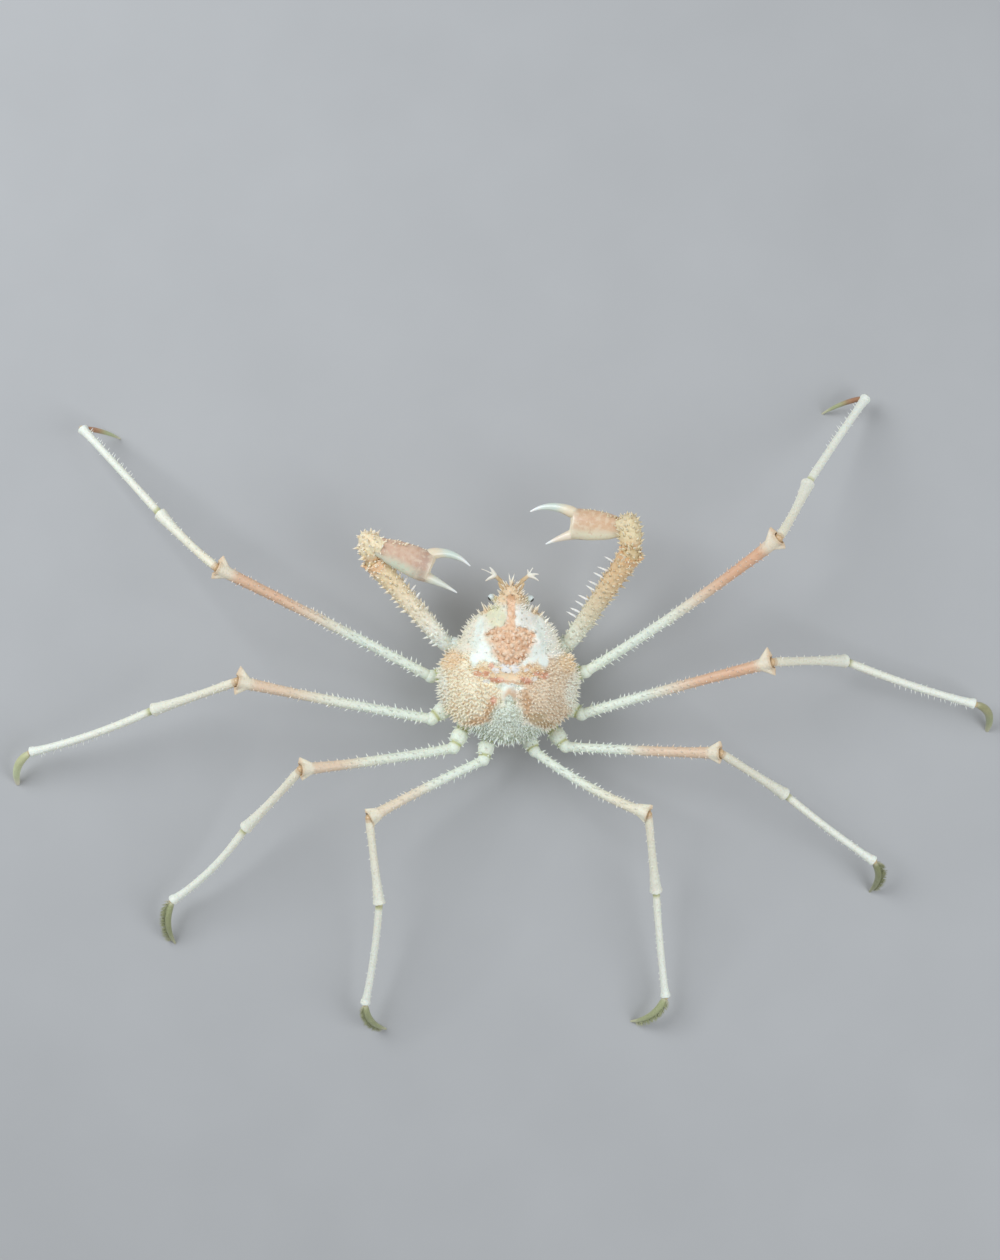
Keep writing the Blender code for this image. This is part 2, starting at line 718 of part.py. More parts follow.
def build_claw(shop, side, sign, body_cutter):
    """One claw limb: base, merus, carpus, palm with its fixed thumb, and the finger that opens."""
    name = f"cheliped_{side}_"
    root = mirrored(COXA_ROOTS[1], sign)
    hip, knee, carpus_end, wrist, palm_end = (Vector(p) for p in CLAW_POSE[side])
    upper = (hip - root).normalized()
    lower = (knee - hip).normalized()
    fore = (carpus_end - knee).normalized()
    palm_way = (palm_end - wrist).normalized()
    hip_plane = joint_plane(hip, upper, lower)
    knee_plane = joint_plane(knee, lower, fore)
    wrist_plane = (wrist, palm_way)

    base = shop.carve(link(shop, root, hip, BASE_RADII, CLAW_BASE_THICKNESS), body_cutter)
    shop.node(base, name + "base", "claw", [near_side(hip_plane)])

    merus = link(shop, hip, knee, CLAW_MERUS_RADII)
    thorns = scattered_spines(shop, hip, knee, CLAW_MERUS_RADII, 0.0, CLAW_MERUS_SPINES)
    inner = Vector((0, 0, 1)).cross(lower) * sign + Vector((0, 0, LONG_SPINES_LIFT))
    sizes = (LONG_SPINE_LENGTH, LONG_SPINE_RADIUS)
    for i in range(LONG_SPINES):
        t = LONG_SPINES_FROM + LONG_SPINES_OVER * i / (LONG_SPINES - 1)
        thorns.append(spine_on_link(shop, hip, knee, CLAW_MERUS_RADII, 0.0, t, inner, *sizes))
    shop.carve(shop.join(merus, thorns), body_cutter)
    shop.node(merus, name + "merus", "claw", [far_side(hip_plane), near_side(knee_plane)])

    carpus = link(shop, knee, carpus_end, CLAW_CARPUS_RADII, overrun=CARPUS_OVERRUN)
    shop.join(carpus, scattered_spines(shop, knee, carpus_end, CLAW_CARPUS_RADII, 0.0, CLAW_CARPUS_SPINES))
    shop.node(carpus, name + "carpus", "claw", [far_side(knee_plane), near_side(wrist_plane)])

    palm = link(shop, wrist, palm_end, PALM_RADII, overrun=PALM_OVERRUN)
    across = palm_way.cross(Vector((0, 0, 1))).normalized()
    flatten(palm, wrist, across.cross(palm_way), PALM_FLATNESS)
    crest = across * sign
    thorns = []
    sizes = (PALM_SPINE_LENGTH, PALM_SPINE_RADIUS)
    for i in range(PALM_SPINES):
        t = PALM_SPINES_FROM + PALM_SPINES_OVER * i / (PALM_SPINES - 1)
        thorns.append(spine_on_link(shop, wrist, palm_end, PALM_RADII, 0.0, t, crest, *sizes))
    thumb = shop.tube(curve_through(THUMB_PATH[side], len(THUMB_RADII)), THUMB_RADII)
    shop.join(palm, [thumb, *thorns])
    path = curve_through(FINGER_PATH[side], len(FINGER_RADII))
    behind = path[0] - (path[1] - path[0]).normalized() * GAP
    socket = shop.tube([behind, *path], [r + GAP for r in (FINGER_RADII[0], *FINGER_RADII)])
    shop.carve(palm, socket)
    bpy.data.objects.remove(socket)
    shop.node(palm, name + "palm", "claw", [far_side(wrist_plane)])
    shop.node(shop.tube(path, FINGER_RADII), name + "finger", "ivory")


def flatten(obj, origin, normal, factor):
    """Press an object flat along a direction."""
    normal = normal.normalized()
    for vert in obj.data.vertices:
        vert.co -= normal * ((vert.co - origin).dot(normal) * (1 - factor))


def build_head(shop, side, sign, body_cutter):
    """Eye, antenna and antennule of one side."""
    eye = shop.ball(mirrored(EYE_PLACE, sign), [EYE_RADIUS] * 3)
    stalk = shop.tube([mirrored(EYE_STALK_ROOT, sign), mirrored(EYE_PLACE, sign)], [EYE_STALK_RADIUS] * 2)
    shop.carve(shop.join(eye, [stalk]), body_cutter)
    shop.node(eye, f"eye_{side}", "eye")

    start = mirrored(ANTENNA_STALK[0], sign)
    reach = ANTENNA_REACH[side]
    stalk_path = [start + (mirrored(p, sign) - start) * reach for p in ANTENNA_STALK]
    antenna = shop.tube(stalk_path, ANTENNA_RADII)
    prongs = []
    for way in ANTENNA_PRONGS:
        root = stalk_path[-1]
        prongs.append(shop.spine(root, root + mirrored(way, sign), PRONG_RADIUS, sides=4))
    shop.carve(shop.join(antenna, prongs), body_cutter)
    shop.node(antenna, f"antenna_{side}", "horn")

    antennule = shop.tube([mirrored(p, sign) for p in ANTENNULE_STALK], ANTENNULE_RADII)
    shop.carve(antennule, body_cutter)
    shop.node(antennule, f"antennule_{side}", "horn")


def build_underside(shop, body_cutter):
    """The folded tail and the plates over the mouth."""
    pleon = shop.ball(PLEON_CENTRE, PLEON_RADII, 20, 12)
    shop.carve(pleon, body_cutter)
    shop.node(pleon, "pleon", "underside")
    # The exact solver leaves this mirrored pair open.
    left, right = (shop.ball(mirrored(MAXILLIPED_CENTRE, sign), MAXILLIPED_RADII) for _, sign in SIDES)
    mouth = shop.join(left, [right], solver="MANIFOLD")
    shop.carve(mouth, body_cutter, solver="MANIFOLD")
    shop.node(mouth, "maxillipeds", "underside")


def stand_at_origin(shop):
    """Move the middle of the footprint to the origin and shrink millimetres to metres."""
    bpy.context.view_layer.update()
    corners = [v.co for obj in shop.crab.objects for v in obj.data.vertices]
    low = Vector([min(c[i] for c in corners) for i in range(3)])
    high = Vector([max(c[i] for c in corners) for i in range(3)])
    middle = Vector(((low.x + high.x) / 2, (low.y + high.y) / 2, low.z))
    place = Matrix.Scale(MILLIMETRE, 4) @ Matrix.Translation(-middle)
    for obj in shop.crab.objects:
        obj.data.transform(place)


def main():
    clear_scene()
    shop = Workshop()
    build_body(shop)
    body_cutter = body_solid(shop, GAP)
    claw_cutter = body_solid(shop, CLAW_GAP)
    build_underside(shop, body_cutter)
    for side, sign in SIDES:
        build_head(shop, side, sign, body_cutter)
        build_claw(shop, side, sign, claw_cutter)
        for number in LEG_LENGTHS:
            build_leg(shop, number, side, sign, body_cutter)
    bpy.data.objects.remove(body_cutter)
    bpy.data.objects.remove(claw_cutter)
    bpy.data.collections.remove(shop.bench)
    stand_at_origin(shop)


main()
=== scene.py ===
# %% [markdown]
# # A spiny spider crab, dressed
# The solids of this crab are plain: each link of a leg is a rod, and its spines are few. This lesson
# builds what the eye sees around them: the lumpy shell, thousands of small thorns, cupped joints and
# the colours of the living animal. The solids are loaded first, because they say where all of it goes.

# %% Load the frame
import math

import bpy
import numpy as np
from mathutils import Matrix, Vector


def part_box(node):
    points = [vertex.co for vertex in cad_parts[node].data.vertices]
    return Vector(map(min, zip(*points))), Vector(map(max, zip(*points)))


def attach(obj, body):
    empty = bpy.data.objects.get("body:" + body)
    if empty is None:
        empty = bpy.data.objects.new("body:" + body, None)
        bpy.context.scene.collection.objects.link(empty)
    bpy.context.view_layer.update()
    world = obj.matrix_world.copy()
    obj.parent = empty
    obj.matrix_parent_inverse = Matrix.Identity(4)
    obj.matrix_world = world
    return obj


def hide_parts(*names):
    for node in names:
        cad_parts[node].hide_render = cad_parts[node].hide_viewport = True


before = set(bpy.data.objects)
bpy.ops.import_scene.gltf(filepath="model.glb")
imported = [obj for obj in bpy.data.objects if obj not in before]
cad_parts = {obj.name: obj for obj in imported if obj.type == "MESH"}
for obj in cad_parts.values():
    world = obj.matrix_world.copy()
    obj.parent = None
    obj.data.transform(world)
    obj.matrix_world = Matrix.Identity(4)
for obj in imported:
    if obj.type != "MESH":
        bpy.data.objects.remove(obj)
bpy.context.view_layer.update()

print("solids:", len(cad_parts))

# %% [markdown]
# ## Working in millimetres
# A crab this size has details of a third of a millimetre, so the bench works in millimetres with the
# head along +y and the back up, as the solids were made. The two eyes are mirror images, so their
# middle is the crab's midline, and the tip of its beak is the foremost point of the shell. From those
# two facts one matrix is worked out, which brings a finished piece to its place in metres.

# %% From the bench to the frame
BEAK_TIP = 45.6
midline = (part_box("eye_l")[0].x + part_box("eye_r")[1].x) / 2
home = Vector((midline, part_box("carapace")[1].y - BEAK_TIP / 1000, 0.0))
to_frame = Matrix.Translation(home) @ Matrix.Scale(0.001, 4)
SIDES = (("l", -1), ("r", 1))
dice = np.random.default_rng(7)
print("home:", [round(c, 5) for c in home])


def only(*objects):
    """Leave nothing selected but these objects, the first one active."""
    if bpy.context.mode != "OBJECT":
        bpy.ops.object.mode_set(mode="OBJECT")
    bpy.ops.object.select_all(action="DESELECT")
    for obj in objects:
        obj.select_set(True)
    if objects:
        bpy.context.view_layer.objects.active = objects[0]


def joined(pieces):
    """Several objects made into one."""
    only(*pieces)
    if len(pieces) > 1:
        bpy.ops.object.join()
    return bpy.context.object


def soften(obj, degrees=180):
    """Shade an object smooth, but for edges where faces meet at more than an angle."""
    only(obj)
    if degrees < 180:
        bpy.ops.object.shade_smooth_by_angle(angle=math.radians(degrees))
    else:
        bpy.ops.object.shade_smooth()


def mirrored(place, sign):
    """A place on the right side of the body, or with a sign of -1 its twin on the left."""
    return Vector((place[0] * sign, *place[1:]))


def put_in_place(piece, name, finish, slot, *nodes):
    """Bring a finished piece from the bench into the frame, in its finish."""
    piece.name = name
    piece.data.name = name
    piece.data.transform(to_frame)
    piece.data.materials.clear()
    piece.data.materials.append(finish)
    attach(piece, "root")
    if nodes:
        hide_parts(*nodes)
    return piece


# %% [markdown]
# ## Shader maths as plain expressions
# A finish is a web of nodes, and most of the web is arithmetic. The class below wraps the output of
# a node so that `0.5 + 0.3 * mask` adds its own Math nodes. Colours never go through a Math node,
# which would turn them grey, so they have `mix`. Every other node comes from `node`.

# %% A wrapped socket and a finish
class Wire:
    """The output of a node, to be used in sums and products."""

    def __init__(self, tree, socket):
        self.tree = tree
        self.socket = socket

    def math(self, operation, *terms, clamp=False):
        node = self.tree.nodes.new("ShaderNodeMath")
        node.operation = operation
        node.use_clamp = clamp
        for socket, term in zip(node.inputs, terms):
            plug(self.tree, socket, term)
        return Wire(self.tree, node.outputs[0])

    def __add__(self, other):
        return self.math("ADD", self, other)

    def __radd__(self, other):
        return self.math("ADD", other, self)

    def __sub__(self, other):
        return self.math("SUBTRACT", self, other)

    def __rsub__(self, other):
        return self.math("SUBTRACT", other, self)

    def __mul__(self, other):
        return self.math("MULTIPLY", self, other)

    def __rmul__(self, other):
        return self.math("MULTIPLY", other, self)

    def __truediv__(self, other):
        return self.math("DIVIDE", self, other)

    def most(self, other):
        return self.math("MAXIMUM", self, other)

    def least(self, other):
        return self.math("MINIMUM", self, other)

    def clipped(self):
        return self.math("ADD", self, 0.0, clamp=True)


def plug(tree, socket, value):
    """Link a wire into a socket, or set its value."""
    if isinstance(value, Wire):
        tree.links.new(value.socket, socket)
    else:
        socket.default_value = value


def ink(red, green, blue):
    """A colour as a painter names it, 0 to 255, turned into the renderer's linear light."""
    def linear(c):
        c /= 255
        return c / 12.92 if c <= 0.04045 else ((c + 0.055) / 1.055) ** 2.4
    return (linear(red), linear(green), linear(blue), 1.0)


# Height of the ovals that colour is painted with, so great that only their outline from above counts
TALL = 1e4


class Finish:
    """A material with one Principled shader, mixed by expressions."""

    def __init__(self, name, **constants):
        self.material = bpy.data.materials.new(name)
        self.material.use_nodes = True
        self.tree = self.material.node_tree
        self.shader = self.tree.nodes["Principled BSDF"]
        for socket, value in constants.items():
            self.shader.inputs[socket.replace("_", " ")].default_value = value

    def node(self, kind, settings=None, inputs=None, output=0):
        """Any node: its type, its settings, then the values or wires of its sockets."""
        node = self.tree.nodes.new("ShaderNode" + kind)
        for key, value in (settings or {}).items():
            if key == "stops":
                ramp = node.color_ramp
                while len(ramp.elements) < len(value):
                    ramp.elements.new(0.5)
                for element, (place, colour) in zip(ramp.elements, value):
                    element.position = place
                    element.color = colour
            else:
                setattr(node, key, value)
        for key, value in (inputs or {}).items():
            plug(self.tree, node.inputs[key], value)
        return Wire(self.tree, node.outputs[output])

    def place(self):
        """The point being shaded, in the bench's millimetres."""
        spot = self.node("TexCoord", output="Object")
        moved = self.node("VectorMath", {"operation": "SUBTRACT"}, {0: spot, 1: home})
        return self.node("VectorMath", {"operation": "SCALE"}, {0: moved, "Scale": 1000.0})

    def grain(self, spot, size, detail=2.0, roughness=0.5, output="Fac"):
        """Soft noise whose blobs are about `size` millimetres across."""
        settings = {"Vector": spot, "Scale": 1.0 / size, "Detail": detail, "Roughness": roughness}
        return self.node("TexNoise", None, settings, output=output)

    def shaken(self, spot, size, reach):
        """The same place pushed about by noise, so that edges painted with it wander."""
        push = self.grain(spot, size, output="Color")
        centred = self.node("VectorMath", {"operation": "SUBTRACT"}, {0: push, 1: (0.5, 0.5, 0.5)})
        scaled = self.node("VectorMath", {"operation": "SCALE"}, {0: centred, "Scale": 2 * reach})
        return self.node("VectorMath", {"operation": "ADD"}, {0: spot, 1: scaled})

    def cells(self, spot, size):
        """Distance to the middle of the nearest of many cells about `size` millimetres across."""
        return self.node("TexVoronoi", None, {"Vector": spot, "Scale": 1.0 / size}, output="Distance")

    def step(self, value, low, high):
        """0 below low, 1 above high, and smooth between; low may lie above high."""
        flip = low > high
        ends = {"From Min": min(low, high), "From Max": max(low, high)}
        ends.update({"To Min": 1.0 if flip else 0.0, "To Max": 0.0 if flip else 1.0})
        return self.node("MapRange", {"interpolation_type": "SMOOTHSTEP"}, {"Value": value, **ends})

    def patch(self, spot, x, y, across, along, turn=0.0, soft=0.35):
        """A soft oval seen from above: 1 inside, 0 outside."""
        sizes = {"Location": (x, y, 0.0), "Scale": (across, along, TALL)}
        sizes["Rotation"] = (0.0, 0.0, math.radians(turn))
        local = self.node("Mapping", {"vector_type": "TEXTURE"}, {"Vector": spot, **sizes})
        far = self.node("VectorMath", {"operation": "LENGTH"}, {0: local}, output="Value")
        return self.step(far, 1 + soft, 1 - soft)

    def patches(self, spot, rows, soft=0.35):
        """Several ovals together, each row being the arguments of `patch`."""
        whole = self.patch(spot, *rows[0], soft=soft)
        for row in rows[1:]:
            whole = whole.most(self.patch(spot, *row, soft=soft))
        return whole

    def mix(self, factor, first, second, blend="MIX"):
        """Two colours, the second over the first by the factor."""
        node = self.tree.nodes.new("ShaderNodeMix")
        node.data_type = "RGBA"
        node.blend_type = blend
        node.clamp_factor = True
        plug(self.tree, node.inputs[0], factor)
        plug(self.tree, node.inputs[6], first)
        plug(self.tree, node.inputs[7], second)
        return Wire(self.tree, node.outputs[2])

    def channel(self, name):
        """A number stored on the piece's own vertices."""
        return self.node("Attribute", {"attribute_name": name}, output="Fac")

    def bump(self, height, distance, strength=1.0):
        """Relief in metres, plugged into the shader's normal."""
        sockets = {"Height": height, "Distance": distance, "Strength": strength}
        self.set("Normal", self.node("Bump", None, sockets))

    def set(self, socket, value):
        plug(self.tree, self.shader.inputs[socket], value)

    def done(self, colour, roughness, coat, height, depth, strength):
        """Plug in the colour, the roughness, the weight of the coat and the relief."""
        self.set("Base Color", colour)
        self.set("Roughness", roughness)
        self.set("Coat Weight", coat)
        self.bump(height, depth, strength)
        return self.material


print("shader tools ready")

# %% [markdown]
# ## Floor, light and camera
# The crab is seen from straight above, so the camera hangs over it and looks down, turned a little to
# match the way the crab lies in the picture. Two wide soft lights stand off to the sides, one stronger
# than the other, so that lumps and thorns throw soft shadows, and a pale world fills them in. The floor
# is a plain pale sheet with the faintest mottling.

# %% Stage
CAMERA_PLACE = Vector((-4.2, 21.3, 900.0))
CAMERA_TURN = 1.76
PICTURE_HEIGHT = 1260
FLOOR_SCALE = 0.44
SENSOR = 36.0

eye_view = bpy.data.cameras.new("camera")
eye_view.sensor_fit = "VERTICAL"
eye_view.sensor_height = SENSOR
eye_view.lens = SENSOR * CAMERA_PLACE.z / (PICTURE_HEIGHT * FLOOR_SCALE)
eye_view.clip_start = 0.05
camera = bpy.data.objects.new("camera", eye_view)
camera.location = to_frame @ CAMERA_PLACE
camera.rotation_euler = (0.0, 0.0, math.radians(CAMERA_TURN))
bpy.context.scene.collection.objects.link(camera)
bpy.context.scene.camera = camera

# Name, place in metres, width, power
LIGHTS = (
    ("main_light", (-0.75, 0.55, 0.95), 0.8, 11.5),
    ("side_light", (0.85, -0.25, 0.95), 0.9, 7.5),
)
DAYLIGHT = (0.94, 1.0, 1.09)
for name, place, width, power in LIGHTS:
    lamp = bpy.data.lights.new(name, "AREA")
    lamp.size = width
    lamp.energy = power
    lamp.color = DAYLIGHT
    light = bpy.data.objects.new(name, lamp)
    light.location = place
    light.rotation_euler = Vector(place).to_track_quat("Z", "Y").to_euler()
    bpy.context.scene.collection.objects.link(light)

bpy.context.scene.view_settings.view_transform = "Standard"
world = bpy.data.worlds.new("room")
world.use_nodes = True
world.node_tree.nodes["Background"].inputs["Color"].default_value = (*DAYLIGHT, 1.0)
world.node_tree.nodes["Background"].inputs["Strength"].default_value = 0.29
bpy.context.scene.world = world

only()
bpy.ops.mesh.primitive_plane_add(size=6.0)
floor = bpy.context.object
floor.name = "floor"
paper = Finish("paper", Roughness=0.8)
mottle = paper.grain(paper.place(), 60.0, detail=3.0)
paper.set("Base Color", paper.mix(mottle, ink(176, 175, 172), ink(185, 184, 181)))
floor.data.materials.append(paper.material)
print("lens:", round(eye_view.lens, 2))

# %% [markdown]
# ## The form of the body
# Seen from above the body is a pear: a narrow beak, flat cheeks, and two swollen gill chambers behind.
# A mesh like this could be sculpted from a box, but its two sides have to match and its outline has to
# follow the solid. So a sphere is added with its poles at beak and tail, and each of its rings is drawn
# out to a width, a top and an underside read from a short table. Swellings and grooves come on top.

# %% Sizes of the body
# y, half width, top of the back, underside
STATIONS = np.array((
    (40.5, 0.0, 34.6, 33.6),
    (38.3, 3.4, 36.2, 30.5),
    (34.5, 6.0, 37.2, 26.5),
    (31.0, 8.2, 37.8, 23.0),
    (28.6, 12.8, 38.2, 20.5),
    (22.4, 18.6, 39.4, 16.0),
    (17.5, 20.8, 40.4, 14.0),
    (14.2, 22.0, 41.0, 12.8),
    (11.4, 25.8, 41.6, 12.4),
    (6.0, 28.8, 42.0, 12.0),
    (-3.4, 29.6, 42.0, 12.0),
    (-10.0, 28.0, 41.0, 12.0),
    (-16.5, 23.2, 39.0, 13.0),
    (-23.0, 12.2, 34.0, 17.0),
    (-26.6, 0.0, 27.0, 25.0),
))
# Level of the edge between underside and back, and how boxy the body is across and upwards
EDGE_LEVEL = 0.42
BOXY_ACROSS = 0.85
BOXY_UP = 0.9
# Level where shell and belly meet. The shell reaches this far below it, the belly twice as far above it.
SHELL_SPLIT = 23.0
SPLIT_LAP = 0.3

# Swellings: x, y, height, reach across, reach along. Those off the midline stand on both sides.
SWELLINGS = (
    (0.0, 14.5, 3.6, 8.0, 8.5),
    (0.0, -4.5, 1.2, 4.0, 4.0),
    (0.0, -14.5, 3.0, 4.8, 5.5),
    (0.0, -22.5, 1.6, 3.6, 3.0),
    (15.5, -5.5, 3.8, 8.2, 10.0),
    (13.5, 18.0, 1.5, 4.0, 5.0),
    (4.6, 25.5, 0.9, 2.6, 4.0),
    (2.6, 32.5, 1.2, 2.4, 2.6),
)
# Grooves: start, end, depth, half width, on both sides
GROOVES = (
    ((24.0, 13.2), (15.5, 4.6), 1.3, 1.3),
    ((15.5, 4.6), (9.5, -1.2), 1.0, 1.2),
    ((9.5, -1.2), (3.6, -2.4), 0.8, 1.1),
    ((3.6, -2.4), (3.0, -9.0), 1.2, 1.0),
    ((3.0, -9.0), (7.4, -15.5), 1.4, 1.2),
    ((7.4, -15.5), (9.0, -21.5), 1.2, 1.3),
    ((9.0, 19.0), (5.4, 10.0), 1.0, 1.2),
    ((5.4, 10.0), (0.0, 7.4), 1.1, 1.1),
    ((1.7, 22.0), (1.5, 30.0), 0.45, 0.9),
    ((11.5, 27.0), (15.0, 16.0), 0.7, 1.2),
)
# Small lumps between the stomach dome and the heart: x, y, height, reach
LUMPS = (
    (-5.0, 4.0, 0.9, 1.5), (-1.2, 4.4, 1.0, 1.6), (2.9, 4.8, 0.9, 1.5), (8.6, 4.6, 1.0, 1.4),
    (-7.2, 6.2, 0.7, 1.3), (-13.0, 2.6, 1.1, 1.6), (15.0, 2.8, 1.1, 1.6), (-9.4, 1.2, 0.8, 1.6),
    (-6.4, 0.4, 0.9, 1.4), (-3.2, 0.6, 0.8, 1.4), (6.6, 0.9, 0.9, 1.5), (9.2, -0.4, 0.8, 1.3),
    (11.4, 3.4, 0.8, 1.5), (0.6, 0.9, 0.5, 1.4), (12.0, 6.6, 0.6, 1.6), (-11.0, 6.4, 0.6, 1.6),
    (-5.0, 33.6, 0.7, 1.3), (5.0, 33.6, 0.7, 1.3), (0.0, 35.6, 0.6, 1.2), (-3.0, 36.6, 0.5, 1.1),
    (3.0, 36.6, 0.5, 1.1),
)


def dip(away, half):
    """1 in the middle of a groove, falling softly to 0 at about twice its half width."""
    return np.exp(-((away / half) ** 2))


def smooth_row(knots, values, at):
    """Cubic curve through values at rising knots, read at many places."""
    last = len(knots) - 1
    index = np.arange(last + 1)
    after, before = np.minimum(index + 1, last), np.maximum(index - 1, 0)
    slopes = (values[after] - values[before]) / (knots[after] - knots[before])
    i = np.clip(np.searchsorted(knots[1:last], at, side="right"), 0, last - 1)
    width = knots[i + 1] - knots[i]
    t = (at - knots[i]) / width
    near = values[i] * (1 + 2 * t) * (1 - t) ** 2 + slopes[i] * width * t * (1 - t) ** 2
    far = values[i + 1] * t * t * (3 - 2 * t) - slopes[i + 1] * width * t * t * (1 - t)
    return near + far


def line_distance(x, y, start, end):
    """Distance in the plane from points to a straight line between two places."""
    run = np.array(end) - np.array(start)
    share = np.clip(((x - start[0]) * run[0] + (y - start[1]) * run[1]) / (run @ run), 0, 1)
    return np.hypot(x - start[0] - share * run[0], y - start[1] - share * run[1])


def relief(x, y):
    """Height that swellings, lumps and grooves add to the back."""
    height = np.zeros_like(x)
    for cx, cy, rise, across, along in SWELLINGS:
        for centre in {cx, -cx}:
            height += rise * np.exp(-(((x - centre) / across) ** 2) - ((y - cy) / along) ** 2)
    for cx, cy, rise, reach in LUMPS:
        height += rise * np.exp(-(((x - cx) ** 2 + (y - cy) ** 2) / reach**2))
    for start, end, depth, half in GROOVES:
        away = line_distance(np.abs(x), y, start, end)
        height -= depth * dip(away, half)
    ridge = np.exp(-((x / 5.5) ** 2) - ((y + 16) / 7.0) ** 2)
    height += 0.28 * ridge * np.sin(2.9 * y + 1.2 * np.sin(0.9 * x))
    return height


def body_surface(lengthwise, around, grow=0.0):
    """Points of the body: lengthwise from beak (0) to tail (pi), around from its right edge."""
    front, back = STATIONS[0, 0], STATIONS[-1, 0]
    middle, half = (front + back) / 2, (front - back) / 2
    knots = np.arccos(np.clip((STATIONS[:, 0] - middle) / half, -1, 1))
    width, top, bottom = (smooth_row(knots, STATIONS[:, i], lengthwise) for i in (1, 2, 3))
    edge = bottom + EDGE_LEVEL * (top - bottom)
    c, s = np.cos(around), np.sin(around)
    x = (width + grow) * np.sign(c) * np.abs(c) ** BOXY_ACROSS
    y = middle + (half + grow) * np.cos(lengthwise)
    rise = np.abs(s) ** BOXY_UP
    upper = edge + (top - edge + grow + relief(x, y)) * rise
    lower = edge - (edge - bottom + grow) * rise
    return np.stack((x, y, np.where(s > 0, upper, lower)), axis=-1)


def vertices_of(obj):
    """The vertices of an object as an array."""
    flat = np.empty(len(obj.data.vertices) * 3)
    obj.data.vertices.foreach_get("co", flat)
    return flat.reshape(-1, 3)


def set_vertices(obj, places):
    obj.data.vertices.foreach_set("co", np.ascontiguousarray(places, dtype=float).ravel())
    obj.data.update()


def drawn_body(segments, rings, grow=0.0):
    """The whole body as one closed mesh."""
    only()
    bpy.ops.mesh.primitive_uv_sphere_add(segments=segments, ring_count=rings, radius=1.0)
    body = bpy.context.object
    ball = vertices_of(body)
    lengthwise = np.arccos(np.clip(ball[:, 2], -1, 1))
    around = np.arctan2(-ball[:, 1], ball[:, 0])
    set_vertices(body, body_surface(lengthwise, around, grow))
    return body


def cut_level(obj, height, keep_above):
    """Cut an object level at a height and close the cut."""
    only(obj)
    bpy.ops.object.mode_set(mode="EDIT")
    bpy.ops.mesh.select_all(action="SELECT")
    bpy.ops.mesh.bisect(
        plane_co=(0, 0, height), plane_no=(0, 0, 1), use_fill=True,
        clear_inner=keep_above, clear_outer=not keep_above
    )
    bpy.ops.object.mode_set(mode="OBJECT")


shell = drawn_body(176, 150)
cut_level(shell, SHELL_SPLIT - SPLIT_LAP, keep_above=True)
soften(shell, 50)
print("shell faces:", len(shell.data.polygons))

# %% [markdown]
# ## Colours of the shell
# The back of this crab is a map: a peach shield over the stomach, white panels beside it, rusty lumps
# behind it, an icy ridge down to the tail and creamy gill chambers that brown towards the middle. Ovals
# seen from above are easy to place and to move, so each field is a few soft ovals, read at a place that
# noise has pushed about, so that no edge is a clean curve. Some light and shade is painted in as well:
# highlights on the lumps of the dome, shade between them, in the crevices and in the pits, and a right
# side painted to suit the light. Thorns share the finish: a channel named `tip` is 0 at their root and
# 1 at their point, where they turn ivory, partly their own pale points and partly a painted highlight.

# %% Fields of colour
MINT = (
    (-13.2, 19.5, 1.9, 7.0, -7), (-10.6, 12.8, 7.2, 2.7, -33), (-14.6, 8.7, 1.7, 3.4, 0),
    (-12.4, 10.2, 2.6, 1.8, -20), (-7.6, 8.6, 3.2, 0.9, -8), (12.9, 21.6, 2.1, 5.0, 8),
    (12.0, 12.8, 6.4, 3.0, 38),
    (14.4, 9.0, 2.2, 3.6, 0), (6.6, 8.6, 3.2, 1.5, 36), (0.6, -2.6, 6.2, 1.3, 0), (-8.9, -0.6, 1.2, 0.9, 0),
)
SADDLE = ((0.4, 3.6, 9.8, 3.6, 0), (-10.6, 3.8, 3.6, 2.6, 0), (12.0, 4.0, 3.6, 2.8, 0))
HEART = (
    (-5.6, 4.3, 1.7, 1.3, 0), (-1.2, 4.6, 1.9, 1.3, 0), (2.8, 4.7, 1.6, 1.3, 0), (7.4, 5.0, 1.2, 1.0, 0),
    (-9.6, -0.6, 1.2, 0.9, 0), (10.9, 1.2, 1.0, 0.8, 0), (0.4, 6.4, 4.4, 0.7, 0),
)
PEACH = (
    (0.9, 17.0, 9.4, 4.5, 0), (-5.4, 20.9, 5.0, 1.6, 15), (6.2, 20.5, 5.0, 1.8, -15),
    (0.8, 12.8, 7.8, 4.7, 0), (0.8, 9.9, 5.4, 3.2, 0), (0.3, 27.0, 1.8, 7.0, 0), (0.2, 22.8, 2.6, 2.8, 0),
    (0.2, 33.4, 2.0, 2.9, 0),
)
RUST = (
    (-13.0, 2.6, 1.7, 1.2, 0), (-7.3, 6.2, 1.2, 1.3, 0), (-4.9, 0.4, 3.6, 1.1, -4),
    (7.3, 0.7, 2.9, 1.3, -18), (15.0, 2.8, 1.9, 1.2, 0), (-9.6, 2.6, 1.6, 1.0, 0),
    (11.9, 3.4, 1.5, 1.0, 0), (-6.2, -8.2, 1.3, 1.6, 0),
)
AMBER = (
    (8.3, 6.4, 1.7, 0.8, 0), (1.8, -0.5, 7.4, 0.6, -2), (1.0, -6.0, 2.2, 3.0, 0),
    (-7.6, -11.8, 1.6, 5.6, -24), (-11.6, -17.2, 5.0, 1.8, 16), (8.0, -8.6, 1.5, 5.6, 6),
    (0.3, 35.2, 2.4, 1.2, 0),
)
OLIVE = ((12.6, -14.4, 4.2, 1.5, 8), (14.0, -17.2, 6.0, 1.8, -14), (1.0, -8.0, 1.4, 2.2, 0))
HEAD = (
    (0.0, 35.6, 7.4, 3.8, 0), (0.0, 39.4, 4.2, 3.4, 0),
    (-11.6, 30.4, 2.6, 2.4, 0), (11.8, 30.4, 2.8, 2.4, 0),
)
ICE = ((0.0, -17.0, 6.6, 7.4, 0), (0.6, -9.6, 2.2, 3.6, 0), (0.0, -24.0, 9.0, 4.2, 0))
